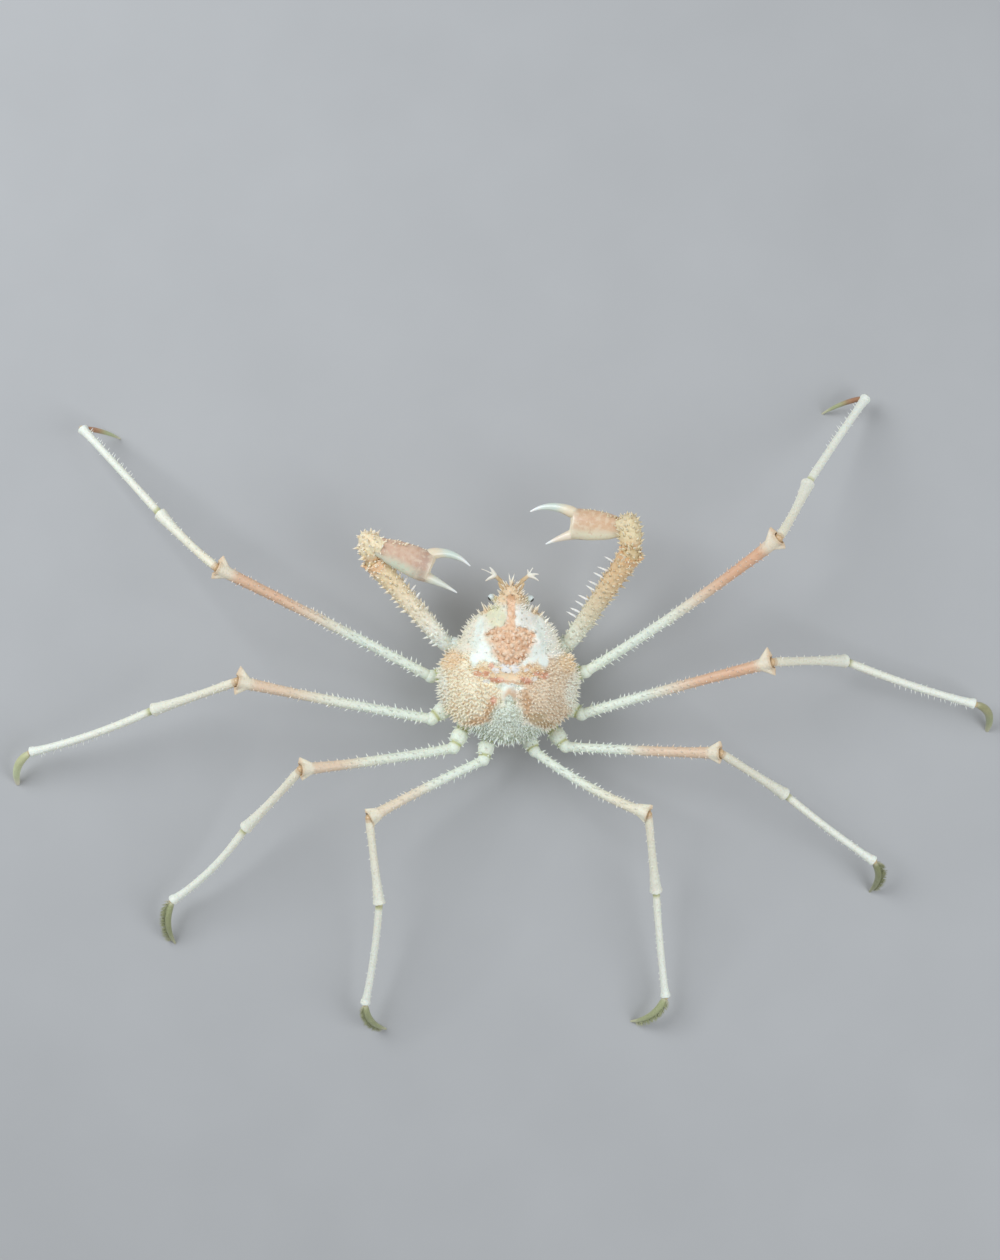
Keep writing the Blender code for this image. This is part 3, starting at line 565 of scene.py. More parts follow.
REAR = ((-9.6, -22.6, 9.0, 4.0, 14), (9.6, -22.6, 9.0, 4.0, -14))
# The thorns of the gill chambers and the ridge stand in rows that sway across the body. Every sway has a
# height and its turn per millimetre across and along; no two fit together, so no pattern repeats.
ROW_GAP = 2.1
SWAYS = ((0.8, 0.45, 0.15), (0.4, 1.4, -0.8), (0.3, 2.3, 1.1))
GILLS = ((-16.8, -4.6, 13.4, 15.6, -12), (17.0, -4.6, 13.4, 15.6, 12))
# Fields of one plain colour: the warm shoulders, the pale flanks, the left and the right panel
PLAIN_FIELDS = (
    (ink(246, 216, 174), ((-24.4, 8.2, 5.2, 3.8, 24), (25.4, 8.6, 4.4, 4.6, -30))),
    (ink(250, 249, 229), (
        (-29.5, -5.0, 4.4, 8.0, 0), (29.0, -5.0, 5.0, 8.0, 0), (-9.5, -21.5, 5.0, 2.2, 20),
    )),
    (ink(230, 226, 190), ((-6.2, 27.0, 4.2, 5.4, 22),)),
    (ink(240, 236, 222), ((6.8, 27.4, 4.2, 5.2, -22),)),
)


def row_phase(x, y, sine):
    """Where a place lies between two rows of thorns, as an angle."""
    wave = sum(height * sine(x * across + y * along) for height, across, along in SWAYS)
    return (y + wave) * (2 * math.pi / ROW_GAP)


# How far red, green and blue light travel in the shell, and that as a distance in metres
FLESH = {"Subsurface_Radius": (1.0, 0.75, 0.55), "Subsurface_Scale": 0.0014}
LUMP_SIZE = 2.4


def shell_finish():
    shell = Finish("shell", Subsurface_Weight=0.15, IOR=1.5, Coat_Roughness=0.3, **FLESH)
    spot = shell.place()
    loose = shell.shaken(spot, 2.2, 1.1)
    tip = shell.channel("tip")
    side = shell.step(shell.node("SeparateXYZ", None, {0: loose}), -3.0, 3.0)
    cloud = shell.grain(spot, 4.0, detail=4.0, roughness=0.6)
    fine = shell.grain(spot, 0.55, detail=2.0)

    gill = shell.patches(loose, GILLS, soft=0.12)
    # side runs from 0 on the left to 1 on the right. The right gill chamber is painted darker and pinker
    # than the left one: partly its own colour, partly painted shade. The rest of the right side is painted
    # lighter: painted light, making up for the shade that the left-hand main light leaves there.
    cream = shell.mix(side, ink(255, 243, 210), ink(237, 215, 183))
    base = shell.mix(gill, shell.mix(side, ink(242, 236, 214), ink(252, 248, 232)), cream)
    for colour, ovals in PLAIN_FIELDS:
        base = shell.mix(shell.patches(loose, ovals), base, colour)
    mint = shell.patches(loose, MINT)
    base = shell.mix(mint, base, shell.mix(side, ink(240, 246, 230), ink(240, 244, 230)))
    base = shell.mix(0.8 * shell.patches(loose, SADDLE), base, ink(241, 204, 154))
    smooth = (1 - gill).least(1 - shell.patches(loose, HEAD))
    blotch = shell.grain(spot, 1.5, detail=3.0)
    base = shell.mix(0.4 * shell.step(blotch, 0.52, 0.66) * smooth, base, ink(212, 212, 190))
    base = shell.mix(0.35 * shell.step(blotch, 0.46, 0.32) * smooth, base, ink(244, 212, 184))
    base = shell.mix(shell.patches(loose, HEART, soft=0.3), base, ink(240, 236, 228))
    tan = shell.mix(cloud, ink(228, 194, 150), ink(246, 224, 188))
    base = shell.mix(shell.patches(loose, HEAD), base, tan)
    peach = shell.patches(loose, PEACH, soft=0.24)
    deep_peach = shell.mix(cloud, ink(242, 190, 146), ink(252, 222, 188))
    lumps = shell.cells(loose, LUMP_SIZE)
    # On the peach dome the middle of each lump is painted lighter, a painted highlight, and the ground
    # between the lumps darker, painted shade.
    deep_peach = shell.mix(0.7 * shell.step(lumps, 0.4, 0.12), deep_peach, ink(254, 234, 212))
    deep_peach = shell.mix(0.45 * shell.step(lumps, 0.5, 0.78), deep_peach, ink(218, 162, 116))
    base = shell.mix(peach, base, deep_peach)
    base = shell.mix(0.7 * shell.patches(loose, AMBER, soft=0.6), base, ink(212, 162, 112))
    base = shell.mix(0.6 * shell.patches(loose, OLIVE, soft=0.6), base, ink(184, 162, 112))
    rusty = shell.mix(shell.step(cloud, 0.4, 0.6), ink(206, 132, 102), ink(238, 184, 156))
    base = shell.mix(0.9 * shell.patches(loose, RUST, soft=0.4), base, rusty)
    ice = shell.patches(loose, ICE + REAR, soft=0.25)
    icy = shell.mix(shell.step(fine, 0.35, 0.62), ink(208, 215, 190), ink(242, 248, 230))
    base = shell.mix(ice, base, icy)

    narrow = shell.node("VectorMath", {"operation": "MULTIPLY"}, {0: loose, 1: (0.7, 1.0, 1.0)})
    crumb = shell.cells(narrow, 1.1)
    beside = shell.node("SeparateXYZ", None, {0: spot}, "X")
    ahead = shell.node("SeparateXYZ", None, {0: spot}, "Y")
    row = row_phase(beside, ahead, lambda v: shell.node("Math", {"operation": "SINE"}, {0: v}))
    row = shell.node("Math", {"operation": "COSINE"}, {0: row})
    rough = gill.most(ice) * (1 - mint)
    broken = shell.step(shell.grain(spot, 2.6), 0.4, 0.56)
    # Between the rows and grains of the gill chambers and the ridge the ground is browner: partly its own
    # colour, partly painted shade in the crevices, darker on the right side.
    gaps = rough * (shell.step(row, -0.2, -0.9) * broken).most(0.7 * shell.step(crumb, 0.5, 0.8))
    crevice = shell.mix(side, ink(212, 164, 110), ink(182, 138, 98))
    base = shell.mix(0.62 * gaps * (1 - tip), base, shell.mix(ice, crevice, ink(180, 176, 144)))
    # Small pits in the panels are painted dark: painted shade in the pits.
    pits = shell.step(shell.cells(spot, 2.6), 0.22, 0.12) * (1 - gill) * (1 - peach)
    base = shell.mix(0.4 * pits * (1 - tip), base, ink(150, 138, 108))
    tone = 0.86 + 0.3 * cloud
    grey = shell.node("CombineColor", None, {0: tone, 1: tone, 2: tone})
    base = shell.mix(1.0, base, grey, blend="MULTIPLY")
    # Thorns turn pale towards their points: partly their own pale points, partly a painted highlight.
    pale = shell.mix(peach, shell.mix(ice, ink(255, 246, 224), ink(246, 252, 244)), ink(250, 222, 194))
    base = shell.mix(shell.step(tip, 0.1, 1.0) * 0.8, base, pale)

    facets = lumps * peach
    height = 0.3 * shell.grain(spot, 0.9, detail=3.0) + 0.4 * (1 - crumb) * rough
    height = height - 1.8 * facets - 0.4 * pits + 0.2 * row * rough
    return shell.done(base, 0.62 - 0.2 * mint - 0.12 * tip, 0.12 + 0.18 * mint, height, 0.0007, 0.8)


SHELL_FINISH = shell_finish()
put_in_place(shell, "shell", SHELL_FINISH, "shell", "carapace")
print("shell finish nodes:", len(SHELL_FINISH.node_tree.nodes))

# %% [markdown]
# ## Thorns by the thousand
# Modelled by hand and copied, three thousand thorns would be three thousand objects. They are all the
# same small horn, a six-sided root that narrows over three rings to a point, so one function lays out
# every horn of a piece in arrays and makes a single mesh of them. Each root is sunk below the skin. For
# baking, each horn gets its own small round patch on a map that is laid out like the skin under it.

# %% One mesh of many horns
HORN_SIDES = 6
HORN_LEVELS = (0.0, 0.36, 0.72)
HORN_WIDTHS = (1.0, 0.72, 0.4)
BLUNT_WIDTHS = (1.0, 0.78, 0.62)
HORN_SINK = 0.35
# On the bake map: radius of a horn's patch, margin of the map, and what the margins leave
PATCH_RADIUS = 0.0015
MAP_MARGIN = 0.02
MAP_SPAN = 0.96


def unit(vectors):
    return vectors / np.maximum(np.linalg.norm(vectors, axis=-1, keepdims=True), 1e-9)


def horns(name, roots, ways, lengths, radii, bends, chart, channels=None, widths=HORN_WIDTHS):
    """A mesh of horns. Bends are added to the tips; chart is the place of each root on the bake map."""
    count = len(roots)
    roots = roots - ways * HORN_SINK
    lengths = lengths + HORN_SINK
    helper = np.where(np.abs(ways[:, 2:3]) < 0.9, (0.0, 0.0, 1.0), (1.0, 0.0, 0.0))
    side = unit(np.cross(ways, helper))
    above = np.cross(ways, side)
    turns = np.arange(HORN_SIDES) * 2 * math.pi / HORN_SIDES
    ring = side[:, None] * np.cos(turns)[None, :, None] + above[:, None] * np.sin(turns)[None, :, None]
    flat_ring = np.stack((np.cos(turns), np.sin(turns)), axis=-1)
    places, maps, shares = [], [], []
    for level, width in zip(HORN_LEVELS, widths):
        centre = roots + ways * (lengths * level)[:, None] + bends * level**2
        places.append(centre[:, None] + ring * (radii * width)[:, None, None])
        maps.append(chart[:, None] + flat_ring[None] * PATCH_RADIUS * (1 - level))
        shares.append(np.full((count, HORN_SIDES), level))
    places.append((roots + ways * lengths[:, None] + bends)[:, None])
    maps.append(chart[:, None])
    shares.append(np.ones((count, 1)))
    places, maps, shares = (np.concatenate(part, axis=1) for part in (places, maps, shares))

    sides = range(HORN_SIDES)
    point = HORN_SIDES * len(HORN_LEVELS)
    faces = [tuple(reversed(sides))]
    for floor in range(0, point - HORN_SIDES, HORN_SIDES):
        for i in sides:
            j = (i + 1) % HORN_SIDES
            faces.append((floor + i, floor + j, floor + HORN_SIDES + j, floor + HORN_SIDES + i))
    for i in sides:
        faces.append((point - HORN_SIDES + i, point - HORN_SIDES + (i + 1) % HORN_SIDES, point))
    starts = (np.arange(count) * (point + 1)).tolist()
    mesh = bpy.data.meshes.new(name)
    all_faces = [tuple(s + v for v in face) for s in starts for face in faces]
    mesh.from_pydata(places.reshape(-1, 3), [], all_faces)
    corners = np.empty(len(mesh.loops), dtype=np.int32)
    mesh.loops.foreach_get("vertex_index", corners)
    bake_map = mesh.uv_layers.new(name="OFBake")
    bake_map.data.foreach_set("uv", maps.reshape(-1, 2)[corners].ravel())
    stored = {"tip": shares.ravel()}
    for channel, values in (channels or {}).items():
        stored[channel] = np.repeat(values, point + 1)
    for channel, values in stored.items():
        layer = mesh.attributes.new(channel, "FLOAT", "POINT")
        layer.data.foreach_set("value", values.astype(np.float32))
    mesh.shade_smooth()
    piece = bpy.data.objects.new(name, mesh)
    bpy.context.scene.collection.objects.link(piece)
    return piece


def spread(places, scale, spacing):
    """Which of the places to keep so that no two are nearer than the spacing, once scaled."""
    taken, kept = {}, []
    scaled = places * np.array(scale) / spacing
    cells = np.floor(scaled).astype(int)
    around = [(i, j, k) for i in (-1, 0, 1) for j in (-1, 0, 1) for k in (-1, 0, 1)]
    for index, (cell, here) in enumerate(zip(cells.tolist(), scaled.tolist())):
        near = (taken.get((cell[0] + i, cell[1] + j, cell[2] + k)) for i, j, k in around)
        if all(other is None or math.dist(other, here) >= 1 for other in near):
            taken[tuple(cell)] = here
            kept.append(index)
    return np.array(kept, dtype=int)


# %% [markdown]
# ## Thorns of the shell
# Each field of the back has its own thorns. On the gill chambers they stand in wavy rows across the
# body, on the stomach dome they are blunt grains, down the icy ridge they are fine, and along the edges
# they are longer and point outwards. Places are drawn at random on the body's form and thinned until no
# two crowd each other. Where rows are wanted, only places near the crests of a swaying wave are kept.
# The draw is seeded, so every run gives the same crab.

# %% Draw places on the shell
DRAWS = 42000
draw_along = np.arccos(1 - 2 * dice.random(DRAWS))
draw_around = dice.random(DRAWS) * math.pi
skin = body_surface(draw_along, draw_around)
STEP = 0.004
run_along = body_surface(draw_along + STEP, draw_around) - body_surface(draw_along - STEP, draw_around)
run_around = body_surface(draw_along, draw_around + STEP) - body_surface(draw_along, draw_around - STEP)
outward = unit(np.cross(run_around, run_along))
BODY_MIDDLE = (0.0, 6.0, 20.0)
outward *= np.sign(np.sum(outward * (skin - BODY_MIDDLE), axis=1))[:, None]
chart = MAP_MARGIN + MAP_SPAN * np.stack((draw_around, draw_along), axis=-1) / math.pi


def in_ovals(x, y, rows, swell=1.0):
    """Whether places lie in any of a finish's ovals, each made larger by a factor."""
    inside = np.zeros(len(x), dtype=bool)
    for cx, cy, across, along, turn in rows:
        c, s = math.cos(math.radians(turn)), math.sin(math.radians(turn))
        u = (x - cx) * c + (y - cy) * s
        v = (y - cy) * c - (x - cx) * s
        inside |= (u / across) ** 2 + (v / along) ** 2 < swell**2
    return inside


# Where the fields end, ahead along y and beside the midline along x
RIDGE_FRONT = -9
REAR_FRONT = -18.5
HEART_BACK = -3
GILL_FRONT = 11.5
GILL_INNER = 3.4
CHEEK_INNER = 14.5
BEAK_BACK = 29.5
# How high on the swaying wave a place must lie to be in a row, and how much chance blurs that
ROW_EDGE = 0.2
ROW_BLUR = 0.8
SHELL_STRAY = 0.16
x, y, z = skin.T
worn_x, worn_y = x + 0.7 * np.sin(1.9 * y + 0.8 * x), y + 0.7 * np.sin(2.1 * x - 0.7 * y)
on_ridge = in_ovals(worn_x, worn_y, ICE) & (y < RIDGE_FRONT)
on_rear = in_ovals(worn_x, worn_y, REAR) & ~on_ridge
on_gills = (y < GILL_FRONT) & (np.abs(x) > GILL_INNER) & ~on_ridge & ~on_rear
on_gills &= ~in_ovals(worn_x, worn_y, MINT + HEART)
on_dome = in_ovals(worn_x, worn_y, PEACH[:5], 0.98) & ~on_gills
on_beak = y > BEAK_BACK
on_cheeks = (np.abs(x) > CHEEK_INNER) & (y >= GILL_FRONT) & ~on_beak
on_panels = ~(on_ridge | on_rear | on_gills | on_dome | on_beak | on_cheeks)
EYE = (8.3, 35.0, 31.5)
EYE_CLEARANCE = 2.6
clear_of_eyes = np.hypot(np.abs(x) - EYE[0], y - EYE[1]) > EYE_CLEARANCE
above_rim = z > SHELL_SPLIT + 1.2
in_row = np.cos(row_phase(x, y, np.sin)) + ROW_BLUR * dice.normal(size=len(x)) > ROW_EDGE
in_row |= y < REAR_FRONT
on_heart = in_ovals(x, y, HEART + RUST + AMBER[:2], 1.15) & (y > HEART_BACK)
on_panels &= ~on_heart
# field, scale of the thinning, spacing, length, radius, lean backwards, lean outwards
FIELDS = (
    (on_gills & in_row & ~on_heart, (1.0, 1.0, 0.8), 1.3, 1.1, 0.54, 0.3, 0.35),
    (on_dome, (1.0, 1.0, 1.0), 2.1, 1.05, 1.15, -0.3, 0.0),
    (on_heart, (1.0, 1.0, 1.0), 1.5, 0.6, 0.6, 0.0, 0.0),
    (on_ridge & in_row, (1.0, 0.9, 0.8), 1.1, 0.9, 0.38, 0.7, 0.1),
    (on_rear, (1.0, 1.0, 0.8), 1.15, 1.3, 0.4, 0.7, 0.4),
    (on_beak, (1.0, 1.0, 1.0), 1.6, 1.2, 0.42, -0.5, 0.4),
    (on_cheeks, (1.0, 1.0, 1.0), 1.8, 0.9, 0.4, -0.1, 0.5),
    (on_panels, (1.0, 1.0, 1.0), 2.6, 0.35, 0.3, 0.0, 0.0),
)
grown = []
for field, scale, spacing, length, radius, back, out in FIELDS:
    chosen = np.flatnonzero(field & clear_of_eyes & above_rim)
    chosen = chosen[spread(skin[chosen], scale, spacing)]
    steep = 1 - np.clip(outward[chosen, 2], 0, 1)
    lean = np.zeros((len(chosen), 3))
    lean[:, 1] = -back
    lean[:, 0] = out * np.sign(x[chosen])
    ways = unit(outward[chosen] + lean + SHELL_STRAY * dice.normal(size=(len(chosen), 3)))
    lengths = length * (0.75 + 0.5 * dice.random(len(chosen))) * (1 + 0.95 * steep)
    radii = radius * (0.85 + 0.3 * dice.random(len(chosen)))
    grown.append((skin[chosen], ways, lengths, radii, chart[chosen]))
    print("thorns in a field:", len(chosen))

# %% [markdown]
# ## The long thorns
# A few thorns are landmarks: the twin horns of the beak, the fans at the sides of the head and the
# fringe behind. Each is given by its point and its length, and it points away from the nearest place of
# the skin.

# %% Landmarks
# Point, length, radius at the root, on both sides
LONG_THORNS = (
    ((1.3, 44.9, 36.5), 7.4, 0.6), ((4.1, 42.4, 33.4), 5.0, 0.5), ((9.4, 32.4, 37.5), 4.2, 0.5),
    ((12.7, 32.6, 35.5), 5.6, 0.6),
    ((16.8, 27.0, 34.5), 4.6, 0.6), ((19.4, 22.6, 33.0), 4.2, 0.55), ((6.0, 38.0, 39.5), 3.2, 0.45),
    ((7.2, 32.2, 38.6), 2.8, 0.4), ((11.2, 31.6, 36.6), 3.6, 0.45), ((14.6, 29.6, 35.0), 3.0, 0.45),
    ((13.8, 29.8, 31.0), 3.2, 0.45), ((18.4, 24.8, 31.0), 3.0, 0.45), ((20.8, 20.0, 31.5), 2.4, 0.4),
    ((5.6, 36.2, 35.0), 2.2, 0.4), ((4.6, 40.6, 36.5), 2.6, 0.35), ((2.6, 42.0, 37.4), 2.6, 0.35),
    ((1.2, -29.6, 30.5), 5.0, 0.42), ((3.4, -29.4, 31.5), 4.8, 0.42), ((5.6, -28.4, 32.5), 4.6, 0.42),
    ((7.6, -27.6, 32.0), 4.0, 0.4), ((9.8, -26.6, 32.0), 3.8, 0.4), ((12.2, -25.6, 32.0), 3.6, 0.4),
    ((2.4, -28.2, 35.5), 4.0, 0.38), ((4.8, -26.8, 36.5), 3.8, 0.38), ((0.6, -25.8, 38.2), 3.4, 0.36),
    ((22.4, 16.6, 30.0), 2.0, 0.38), ((27.8, 12.0, 30.5), 2.2, 0.4), ((31.2, 4.5, 30.0), 2.0, 0.38),
)
LONG_THORN_GIRTH = 1.35
THORN_BEND = 0.12
lookup = spread(skin, (1, 1, 1), 0.7)
points = np.array([(px * sign, py, pz) for (px, py, pz), _, _ in LONG_THORNS for _, sign in SIDES])
sizes = np.array([(length, radius) for _, length, radius in LONG_THORNS for _ in SIDES])
nearest = np.array([lookup[np.argmin(np.linalg.norm(skin[lookup] - point, axis=1))] for point in points])
ways = unit(points - skin[nearest])
roots = points - ways * sizes[:, :1]
grown.append((roots, ways, sizes[:, 0], sizes[:, 1] * LONG_THORN_GIRTH, chart[nearest]))

roots, ways, lengths, radii, maps = (np.concatenate([field[i] for field in grown]) for i in range(5))
bends = np.zeros_like(roots)
bends[:, 1] = THORN_BEND * lengths
shell_thorns = horns("shell_thorns", roots, ways, lengths, radii, bends, maps)
put_in_place(shell_thorns, "shell_thorns", SHELL_FINISH, "shell")
print("thorns on the shell:", len(roots), "faces:", len(shell_thorns.data.polygons))

# %% [markdown]
# ## Rods for the limbs
# A crab's limb is a chain of tubes. A tube with a bend and a changing girth is quickest as a curve: its
# points follow the limb, each with its own radius, a round bevel gives the wall, and the Convert tool
# turns it into a mesh. Where a limb carries teeth, knobs or a thumb, those are separate forms at first.
# The Remesh modifier then melts them into one skin with soft joins, and Smooth takes its steps away.

# %% Tube, melt and hollow
def rod(points, radii, sides=16):
    """A round tube through points, with a radius at each."""
    only()
    bpy.ops.curve.primitive_bezier_curve_add()
    obj = bpy.context.object
    curve = obj.data
    curve.splines.clear()
    spline = curve.splines.new("POLY")
    spline.points.add(len(points) - 1)
    for knot, point, radius in zip(spline.points, points, radii):
        knot.co = (*point, 1.0)
        knot.radius = radius
    curve.bevel_depth = 1.0
    curve.bevel_resolution = sides // 2 - 2
    curve.use_fill_caps = True
    bpy.ops.object.convert(target="MESH")
    tube = bpy.context.object
    only(tube)
    bpy.ops.object.mode_set(mode="EDIT")
    bpy.ops.mesh.select_all(action="SELECT")
    bpy.ops.mesh.remove_doubles(threshold=0.001)
    bpy.ops.mesh.normals_make_consistent(inside=False)
    bpy.ops.object.mode_set(mode="OBJECT")
    return tube


def apply_modifier(obj, kind, **settings):
    """Add a modifier with its settings and apply it."""
    only(obj)
    modifier = obj.modifiers.new(kind.lower(), kind)
    for key, value in settings.items():
        setattr(modifier, key, value)
    bpy.ops.object.modifier_apply(modifier=modifier.name)


def melt(pieces, voxel, rounds=3):
    """Melt pieces into one closed skin."""
    whole = joined(pieces)
    apply_modifier(whole, "REMESH", mode="VOXEL", voxel_size=voxel)
    apply_modifier(whole, "SMOOTH", factor=0.5, iterations=rounds)
    return whole


def ball(centre, radii, segments=20, rings=14):
    """An egg of three radii."""
    only()
    bpy.ops.mesh.primitive_uv_sphere_add(segments=segments, ring_count=rings, radius=1.0, location=centre)
    egg = bpy.context.object
    egg.scale = radii
    bpy.ops.object.transform_apply(location=True, rotation=True, scale=True)
    return egg


def hollow(obj, centre, radius):
    """Cut a round cup out of an object."""
    cutter = ball(centre, (radius,) * 3)
    apply_modifier(obj, "BOOLEAN", operation="DIFFERENCE", solver="EXACT", object=cutter)
    bpy.data.objects.remove(cutter)


def tooth(root, tip, breadth, flatness, across):
    """A broad-based tooth that is thin across one direction."""
    root, tip, across = Vector(root), Vector(tip), Vector(across)
    along = (tip - root).normalized()
    only()
    bpy.ops.mesh.primitive_cone_add(vertices=16, radius1=breadth, radius2=0.0, depth=(tip - root).length)
    cone = bpy.context.object
    thin = (across - along * across.dot(along)).normalized()
    broad = thin.cross(along)
    turned = Matrix((broad, thin * flatness, along)).transposed().to_4x4()
    cone.data.transform(Matrix.Translation((root + tip) / 2) @ turned)
    if turned.determinant() < 0:
        cone.data.flip_normals()
    return cone


def store(obj, channel, values):
    """Keep one number for each vertex."""
    layer = obj.data.attributes.new(channel, "FLOAT", "POINT")
    layer.data.foreach_set("value", np.asarray(values, dtype=np.float32))


def round_path(points, radii, count, far_cap=True):
    """A path through points with radii, evenly resampled, with a round start and, if wanted, a round end."""
    points = np.array([tuple(p) for p in points], dtype=float)
    steps = np.linalg.norm(np.diff(points, axis=0), axis=1)
    knots = np.concatenate(((0.0,), np.cumsum(steps)))
    shares = np.linspace(0, knots[-1], count)
    radius_knots = np.linspace(0, knots[-1], len(radii))
    path = np.stack([smooth_row(knots, points[:, i], shares) for i in range(3)], axis=1)
    sizes = smooth_row(radius_knots, np.array(radii, dtype=float), shares)
    bows = np.sin(np.linspace(0.12, 1, 5) * math.pi / 2)
    way = unit(path[0] - path[1])
    outs = np.sqrt(1 - bows**2) * sizes[0]
    path = np.concatenate((path[0] + outs[:-1, None] * way, path))
    sizes = np.concatenate((bows[:-1] * sizes[0], sizes))
    if far_cap:
        way = unit(path[-1] - path[-2])
        outs = np.sqrt(1 - bows**2) * sizes[-1]
        path = np.concatenate((path, path[-1] + outs[:-1][::-1, None] * way))
        sizes = np.concatenate((sizes, bows[:-1][::-1] * sizes[-1]))
    return path, sizes


# %% [markdown]
# ## Where the legs run
# The joints of every leg follow from its hip, the heading and pitch of its links and their lengths, just
# as in the solids, so the dressed leg lies round the plain one. Counting along a leg, -1 to 0 is its base,
# 0 to 1 the merus, 1 to 2 the carpus and 2 to 3 the propodus. That count is stored on the vertices as
# `reach`, and the leg's colours are read from it. The toe has its own finish and counts from 0 to 1.

# %% Joints of the legs
LEG_LENGTHS = {
    2: (103.1, 38.6, 57.6, 20.4),
    3: (85.7, 45.9, 60.1, 21.3),
    4: (69.1, 41.7, 50.3, 23.8),
    5: (56.1, 38.6, 49.1, 21.9),
}
COXA_ROOTS = {
    1: (18.0, 12.5, 17.5),
    2: (20.0, 2.5, 18.0),
    3: (20.0, -8.0, 18.0),
    4: (16.5, -17.0, 18.0),
    5: (7.0, -21.0, 20.0),
}
# Hip, headings of the four links, pitches of the first three, and the bow of each to the left of its way
LEG_POSE = {
    (2, "l"): (
        (-33.3, 0.5, 23.8), (154.2, 140.3, 136.1, -9.9), (16.8, -25.6, -22.2), (-0.4, 0.6, -0.1, 0.9)
    ),
    (2, "r"): (
        (33.0, 4.6, 24.3), (37.4, 58.6, 54.8, -159.6), (22.8, -41.8, -31.2), (-1.6, -0.6, 0.2, -1.0)
    ),
    (3, "l"): (
        (-32.6, -17.8, 21.9), (169.9, -160.0, -159.4, -119.6), (17.6, -28.4, -12.6), (0.4, 0.2, 1.4, -2.4)
    ),
    (3, "r"): (
        (32.0, -13.7, 22.1), (18.0, 1.9, -16.4, -51.1), (18.7, -39.7, -5.0), (0.5, 0.3, -1.0, 3.2)
    ),
    (4, "l"): (
        (-22.7, -30.0, 21.7), (-171.6, -132.3, -133.8, -90.8), (23.7, -29.0, -19.8), (0.6, 0.3, 2.2, -2.2)
    ),
    (4, "r"): (
        (25.5, -27.8, 22.3), (0.7, -30.6, -35.0, -82.5), (23.1, -32.4, -10.4), (-0.4, 0.1, -0.6, 2.4)
    ),
    (5, "l"): (
        (-9.6, -34.7, 24.0), (-152.4, -82.6, -97.0, -58.0), (18.7, -15.3, -20.2), (-0.6, 0.0, 0.8, -2.4)
    ),
    (5, "r"): (
        (12.3, -30.3, 24.0), (-26.4, -80.8, -82.2, -136.1), (16.1, -25.6, -14.5), (-2.0, -0.1, -0.3, 2.4)
    ),
}
LEG_GIRTH = {2: 1.0, 3: 1.0, 4: 0.97, 5: 0.92}
TOE_ARCH = 2.5
UP = Vector((0, 0, 1))


def aim(heading, pitch):
    turn, rise = math.radians(heading), math.radians(pitch)
    return Vector((math.cos(rise) * math.cos(turn), math.cos(rise) * math.sin(turn), math.sin(rise)))


def leg_joints(number, side):
    """Joints of a leg from hip to toe."""
    hip, headings, pitches, _ = LEG_POSE[number, side]
    lengths = LEG_LENGTHS[number]
    joints = [Vector(hip)]
    for heading, pitch, length in zip(headings, pitches, lengths):
        joints.append(joints[-1] + aim(heading, pitch) * length)
    ankle = joints[-1]
    flat = math.sqrt(lengths[3] ** 2 - ankle.z**2)
    joints.append(ankle + aim(headings[3], 0.0) * flat - Vector((0, 0, ankle.z)))
    return joints


def along_link(start, end, bow, share):
    """Point at a share of the way along a link, whose middle bows to the left."""
    left = UP.cross(end - start).normalized()
    return start.lerp(end, share) + left * (bow * 4 * share * (1 - share))


def link_points(start, end, bow, count=9):
    return [along_link(start, end, bow, i / (count - 1)) for i in range(count)]


def straight(start, end, count=5):
    return [start.lerp(end, i / (count - 1)) for i in range(count)]


def arc(points, count=9):
    """Points of the curve that leaves the first of three points for the second and ends in the third."""
    a, b, c = (Vector(p) for p in points)
    return [a * (1 - t) ** 2 + b * 2 * t * (1 - t) + c * t * t for t in np.linspace(0, 1, count)]


def toe_line(ankle, toe, bow):
    """The arched middle line of a toe."""
    bend = along_link(ankle, toe, 2 * bow, 0.5) + UP * 2 * TOE_ARCH
    return arc((ankle, bend, toe))


def shares_along(obj, points):
    """How far along a path each vertex of an object lies, from 0 to 1."""
    path = np.array([tuple(p) for p in points])
    runs = np.diff(path, axis=0)
    sizes = np.linalg.norm(runs, axis=1)
    starts = np.concatenate(((0.0,), np.cumsum(sizes)[:-1]))
    spots = vertices_of(obj)
    best, nearest = np.zeros(len(spots)), np.full(len(spots), 1e9)
    for a, run, size, before in zip(path, runs, sizes, starts):
        share = np.clip((spots - a) @ run / size**2, 0, 1)
        away = np.linalg.norm(spots - a - share[:, None] * run, axis=1)
        closer = away < nearest
        nearest[closer] = away[closer]
        best[closer] = (before + share * size)[closer]
    return best / sizes.sum()


print("legs:", len(LEG_POSE))

# %% [markdown]
# ## Colours of the legs
# Near the body a leg is a cool, milky mint; it warms to cream, and the far part of the thigh link is
# flushed with peach, strongly on the front legs and weakly on the last. Beyond the knee it is
# ivory. The thin skin in the joints shows yellow-green, and the knuckles are tan. A soft flush like
# this is not paint on the surface but colour under it, so the shell lets a little light in.

